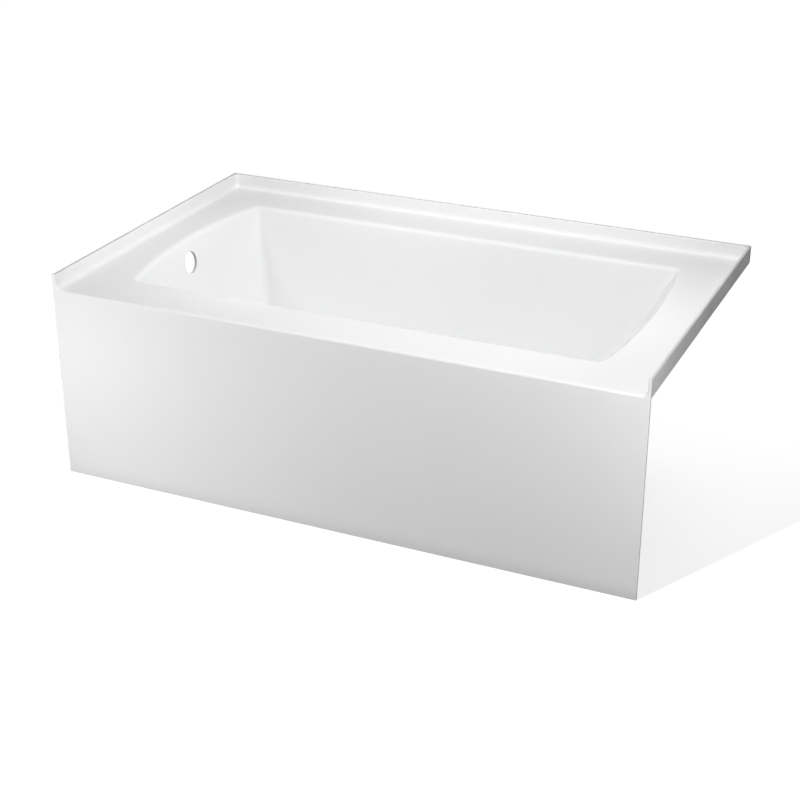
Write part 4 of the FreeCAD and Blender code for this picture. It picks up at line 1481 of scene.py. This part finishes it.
@dataclass
class LevellingFoot:
    """One foot: its pad, threaded stem, washer and lock nut, each on its own body."""

    place: str
    hardware: Hardware
    thread: bpy.types.NodeTree
    collar_flats: float = 17 * MM
    collar_high: float = 8 * MM
    collar_gap: float = 0.3 * MM
    pivot_radius: float = 5 * MM
    pivot_soft: float = 0.8 * MM
    tip_taper: float = 1.4 * MM
    pad_soft: float = 1.2 * MM
    pad_edge: float = 5 * MM
    pad_rise: float = 5 * MM
    pad_hollow: float = 1.6
    hub_radius: float = 13 * MM
    socket_radius: float = 5.05 * MM
    socket_deep: float = 11 * MM
    socket_chamfer: float = 0.4 * MM
    washer_bore: float = 6.5 * MM
    washer_soft: float = 0.5 * MM

    def node(self, part: str) -> str:
        """The frame's name for one part of this foot."""
        return self.place + "_" + part

    def centre(self, part: str) -> tuple[float, float]:
        """The foot's axis in plan."""
        low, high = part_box(self.node(part))
        return (low.x + high.x) / 2, (low.y + high.y) / 2

    def pad(self) -> bpy.types.Object:
        """The moulded pad: a low cone with rounded edges, a hub and a socket."""
        low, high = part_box(self.node("foot_pad"))
        radius, top = (high.x - low.x) / 2, high.z
        soft, socket, chamfer = self.pad_soft, self.socket_radius, self.socket_chamfer
        floor, slope = top - self.socket_deep, radius - soft - self.hub_radius
        rows: list[Row] = [(0.0, circle(0.0)), (0.0, circle(radius - soft))]
        for turn in quarter(4)[1:]:
            rows.append((soft * (1 - math.cos(turn)),
                         circle(radius - soft * (1 - math.sin(turn)))))
        rows += rounded_top(self.pad_edge, radius, soft)
        for share in shares(8)[1:]:
            rows.append((self.pad_edge + self.pad_rise * share ** self.pad_hollow,
                         circle(radius - soft - slope * share)))
        rows += rounded_top(top, self.hub_radius, soft)
        rows += [(top, circle(socket + chamfer)), (top - chamfer, circle(socket)),
                 (floor, circle(socket)), (floor, circle(0.0))]
        return turned(self.node("pad_moulding"), rows)

    def stem(self) -> bpy.types.Object:
        """The threaded stem with its hexagon collar and its pivot."""
        low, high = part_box(self.node("foot_stem"))
        collar_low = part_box(self.node("foot_pad"))[1].z + self.collar_gap
        collar_top = collar_low + self.collar_high
        collar = turned(self.place + "_collar", hexagon_rows(
            self.collar_flats, collar_low, collar_top, self.hardware.nut_chamfer))
        soft = self.pivot_soft
        rows: list[Row] = [(low.z, circle(0.0)), (low.z, circle(self.pivot_radius - soft)),
                           (low.z + soft, circle(self.pivot_radius)),
                           (collar_low + soft, circle(self.pivot_radius)),
                           (collar_low + soft, circle(0.0))]
        pivot = turned(self.place + "_pivot", rows, 48)
        start = collar_top - self.hardware.thread_pitch
        bar = self.hardware.thread(
            self.place + "_bar", self.thread, self.hardware.thread_radius,
            self.hardware.thread_pitch, self.hardware.thread_depth, high.z - start,
            self.tip_taper)
        shift(bar, (0, 0, start))
        return joined(self.node("stem_steel"), [collar, pivot, bar])

    def washer(self) -> bpy.types.Object:
        """A stamped washer with one rounded and one sharp edge."""
        low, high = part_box(self.node("washer"))
        radius, bore = (high.x - low.x) / 2, self.washer_bore
        soft, thick = self.washer_soft, high.z - low.z
        burr, chamfer = soft * 0.3, soft * 0.4
        rows: list[Row] = [(0.0, circle(bore)), (0.0, circle(radius - burr)),
                           (burr, circle(radius))]
        rows += rounded_top(thick, radius, soft)
        rows += [(thick, circle(bore + chamfer)), (thick - chamfer, circle(bore)),
                 (0.0, circle(bore))]
        return shift(turned(self.node("washer_steel"), rows), (0, 0, low.z))

    def build(self, finishes: Finishes, paint: Paint) -> None:
        """Make and dress the four pieces of this foot."""
        low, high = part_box(self.node("lock_nut"))
        nut = self.hardware.nut(self.node("nut_steel"), high.z - low.z)
        shift(nut, (0, 0, low.z))
        made = [("foot_pad", self.pad(), finishes.plastic),
                ("foot_stem", self.stem(), finishes.zinc),
                ("washer", self.washer(), finishes.zinc), ("lock_nut", nut, finishes.zinc)]
        for part, piece, finish in made:
            shift(piece, (*self.centre(part), 0.0))
            smooth(piece)
            dress(piece, finish, paint, self.node(part), [self.node(part)])


# ------------------------------------------------------------------ studio


ORIGIN: Place = (0.0, 0.0, 0.0)
KEY_PLACE: Place = tuple(10.0 * heading(242.5, 36.0))
KEY_SPREAD: float = math.radians(1.5)


class Reach(Enum):
    """What a lamp lights; the value is the floor's state in its list of receivers."""

    TUB = "EXCLUDE"
    FLOOR = "INCLUDE"


@dataclass(frozen=True)
class Lamp:
    """One soft round lamp, aimed at a point."""

    name: str
    place: Place
    target: Place
    size: float
    power: float
    glints: bool = False
    reach: Reach = Reach.TUB

    def make(self) -> bpy.types.Light:
        """The round light itself."""
        data = bpy.data.lights.new(self.name, "AREA")
        data.shape = "DISK"
        data.size = self.size
        data.energy = self.power
        return data

    def aim(self) -> Vector:
        """The way from the lamp to its target."""
        return Vector(self.target) - Vector(self.place)

    def build(self, receivers: dict[Reach, bpy.types.Collection]) -> None:
        """Hang the lamp, so that it lights only what it should.

        Args:
            receivers: The list of lit objects for each reach.
        """
        made = placed(self.name, self.make())
        made.location = self.place
        made.visible_glossy = self.glints
        made.rotation_euler = self.aim().to_track_quat("-Z", "Y").to_euler()
        made.light_linking.receiver_collection = receivers[self.reach]


@dataclass(frozen=True)
class FarLamp(Lamp):
    """A lamp so far away that its light is parallel.

    Its size is the angle that it fills, and its power is per square metre.
    """

    def make(self) -> bpy.types.Light:
        """The parallel light itself."""
        data = bpy.data.lights.new(self.name, "SUN")
        data.energy = self.power
        data.angle = self.size
        return data


@dataclass
class Studio:
    """A pale floor, a pale surround, soft lamps and the camera.

    The camera's turn and rise are in degrees, and its lens and film in millimetres.
    """

    floor_half: float = 25.0
    floor_glow: float = 0.74
    floor_white: float = 0.98
    bounce_tone: float = 0.25
    ambient: float = 0.04
    camera_place: Place = (1.5492, -3.5049, 1.9735)
    camera_turn: float = 114.21
    camera_rise: float = -25.37
    lens_length: float = 72.75
    film_width: float = 36.0
    lamps: tuple[Lamp, ...] = (
        FarLamp("key", KEY_PLACE, ORIGIN, KEY_SPREAD, 0.32),
        FarLamp("floor_key", KEY_PLACE, ORIGIN, KEY_SPREAD, 1.3, reach=Reach.FLOOR),
        Lamp("high_middle", (0.7, 0.0, 3.35), (0.0, 0.0, 0.35), 1.0, 27.6, glints=True),
        Lamp("front_upper", (0.6, -1.5, 1.8), (0.4, -0.45, 0.45), 0.5, 11.0, glints=True),
        Lamp("right_middle", (1.1, -1.0, 0.95), (0.6, -0.45, 0.45), 0.5, 1.5, glints=True),
        Lamp("right_edge", (1.5, -1.0, 0.5), (0.76, -0.4, 0.5), 0.3, 3.7),
        Lamp("front_low", (-0.5, -1.8, 0.45), (-0.3, -0.45, 0.25), 0.4, 5.3),
        Lamp("left_low", (-0.9, -1.3, 0.35), (-0.7, -0.45, 0.3), 0.15, 2.5),
        Lamp("left_near", (-0.85, -1.0, 0.35), (-0.75, -0.45, 0.35), 0.15, 0.5),
        Lamp("over_basin", (-0.3, 0.0, 1.4), (-0.3, 0.0, 0.3), 0.5, 1.9),
        Lamp("to_drain_end", (0.2, 0.0, 1.3), (-0.76, 0.0, 0.45), 0.4, 1.1),
        Lamp("over_backrest", (0.7, -0.05, 0.95), (-0.76, 0.0, 0.5), 0.4, 1.2),
        Lamp("to_back_corner", (-0.2, -0.15, 0.75), (-0.6, 0.3, 0.35), 0.3, 0.45),
        Lamp("left_behind", (-3.0, 1.6, 1.6), (0.0, 0.0, 0.3), 1.2, 12.0),
        Lamp("behind", (0.3, 3.2, 0.9), (0.0, 0.45, 0.25), 1.2, 16.0),
        Lamp("floor_behind", (0.9, 1.2, 1.4), (0.9, 0.4, 0.0), 0.8, 6.4, reach=Reach.FLOOR),
    )

    def shows_white(self, writer: TreeWriter) -> Socket:
        """1 for the rays that see the background itself: camera, gloss and glass."""
        path = writer.add("ShaderNodeLightPath")
        seen = writer.math("MAXIMUM", path.outputs["Is Camera Ray"],
                           path.outputs["Is Glossy Ray"])
        return writer.math("MAXIMUM", seen, path.outputs["Is Transmission Ray"])

    def floor(self) -> bpy.types.Object:
        """A wide floor that reads as white and still takes the tub's shadow."""
        made = bpy.data.materials.new("studio_floor")
        made.use_nodes = True
        made.cycles.emission_sampling = "NONE"
        writer = TreeWriter(made.node_tree)
        made.node_tree.nodes.remove(made.node_tree.nodes["Principled BSDF"])
        output = made.node_tree.nodes["Material Output"]
        white = writer.add("ShaderNodeBsdfDiffuse", {"Color": grey(self.floor_white)})
        glow = writer.add("ShaderNodeEmission", {"Strength": self.floor_glow})
        shown = writer.add("ShaderNodeAddShader", {0: white.outputs[0], 1: glow.outputs[0]})
        plain = writer.add("ShaderNodeBsdfDiffuse", {"Color": grey(self.bounce_tone)})
        both = writer.add("ShaderNodeMixShader", {
            0: self.shows_white(writer), 1: plain.outputs[0], 2: shown.outputs[0]})
        writer.feed(output.inputs["Surface"], both.outputs[0])
        half = self.floor_half
        mesh = bpy.data.meshes.new("studio_floor")
        mesh.from_pydata([(-half, -half, 0), (half, -half, 0), (half, half, 0),
                          (-half, half, 0)], [], [(0, 1, 2, 3)])
        mesh.materials.append(made)
        floor = placed("studio_floor", mesh)
        return floor

    def world(self) -> None:
        """White where it is seen, and a plain soft light everywhere else."""
        world = bpy.data.worlds.new("studio_surround")
        world.use_nodes = True
        world.cycles.sampling_method = "NONE"
        writer = TreeWriter(world.node_tree)
        background = world.node_tree.nodes["Background"]
        seen = self.shows_white(writer)
        strength = writer.add("ShaderNodeMapRange", {
            "Value": seen, "To Min": self.ambient, "To Max": 1.0})
        writer.feed(background.inputs["Strength"], strength.outputs[0])
        background.inputs["Color"].default_value = grey(1.0)
        bpy.context.scene.world = world

    def camera(self) -> None:
        """The camera at the photograph's viewing angle."""
        data = bpy.data.cameras.new("studio_camera")
        data.sensor_width = self.film_width
        data.lens = self.lens_length
        made = placed("studio_camera", data)
        made.location = self.camera_place
        forward = heading(self.camera_turn, self.camera_rise)
        made.rotation_euler = forward.to_track_quat("-Z", "Y").to_euler()
        bpy.context.scene.camera = made

    def receivers(self, floor: bpy.types.Object) -> dict[Reach, bpy.types.Collection]:
        """The lists of lit objects: all but the floor, and the floor alone.

        Args:
            floor: The studio floor.

        Returns:
            One collection for each reach.
        """
        lists = {}
        for reach in Reach:
            lists[reach] = bpy.data.collections.new("lit_by_" + reach.name.lower())
            lists[reach].objects.link(floor)
            lists[reach].collection_objects[0].light_linking.link_state = reach.value
        return lists

    def build(self) -> None:
        """Set up everything that isn't the bathtub."""
        bpy.context.scene.view_settings.view_transform = "Standard"
        receivers = self.receivers(self.floor())
        self.world()
        for lamp in self.lamps:
            lamp.build(receivers)
        self.camera()
        log.info("studio: %d lamps", len(self.lamps))


# ------------------------------------------------------------------ build


def main() -> None:
    """Build the studio and then every sub-assembly, in order."""
    logging.basicConfig(level=logging.INFO, format="%(name)s: %(message)s")
    EFFECTS.update(build_effects())
    finishes, paint = Finishes(), Paint()
    thread, copies = thread_tree(), copies_tree()
    hardware = Hardware()
    Studio().build()
    Shell(ShellForm()).build(finishes, paint)
    Woodwork().build(finishes, paint)
    RailSet().build(finishes, paint)
    Fasteners(hardware, thread, copies).build(finishes, paint)
    for end in ("front", "back"):
        for side in ("drain", "backrest"):
            LevellingFoot(end + "_" + side, hardware, thread).build(finishes, paint)


if __name__ == "__main__":
    main()
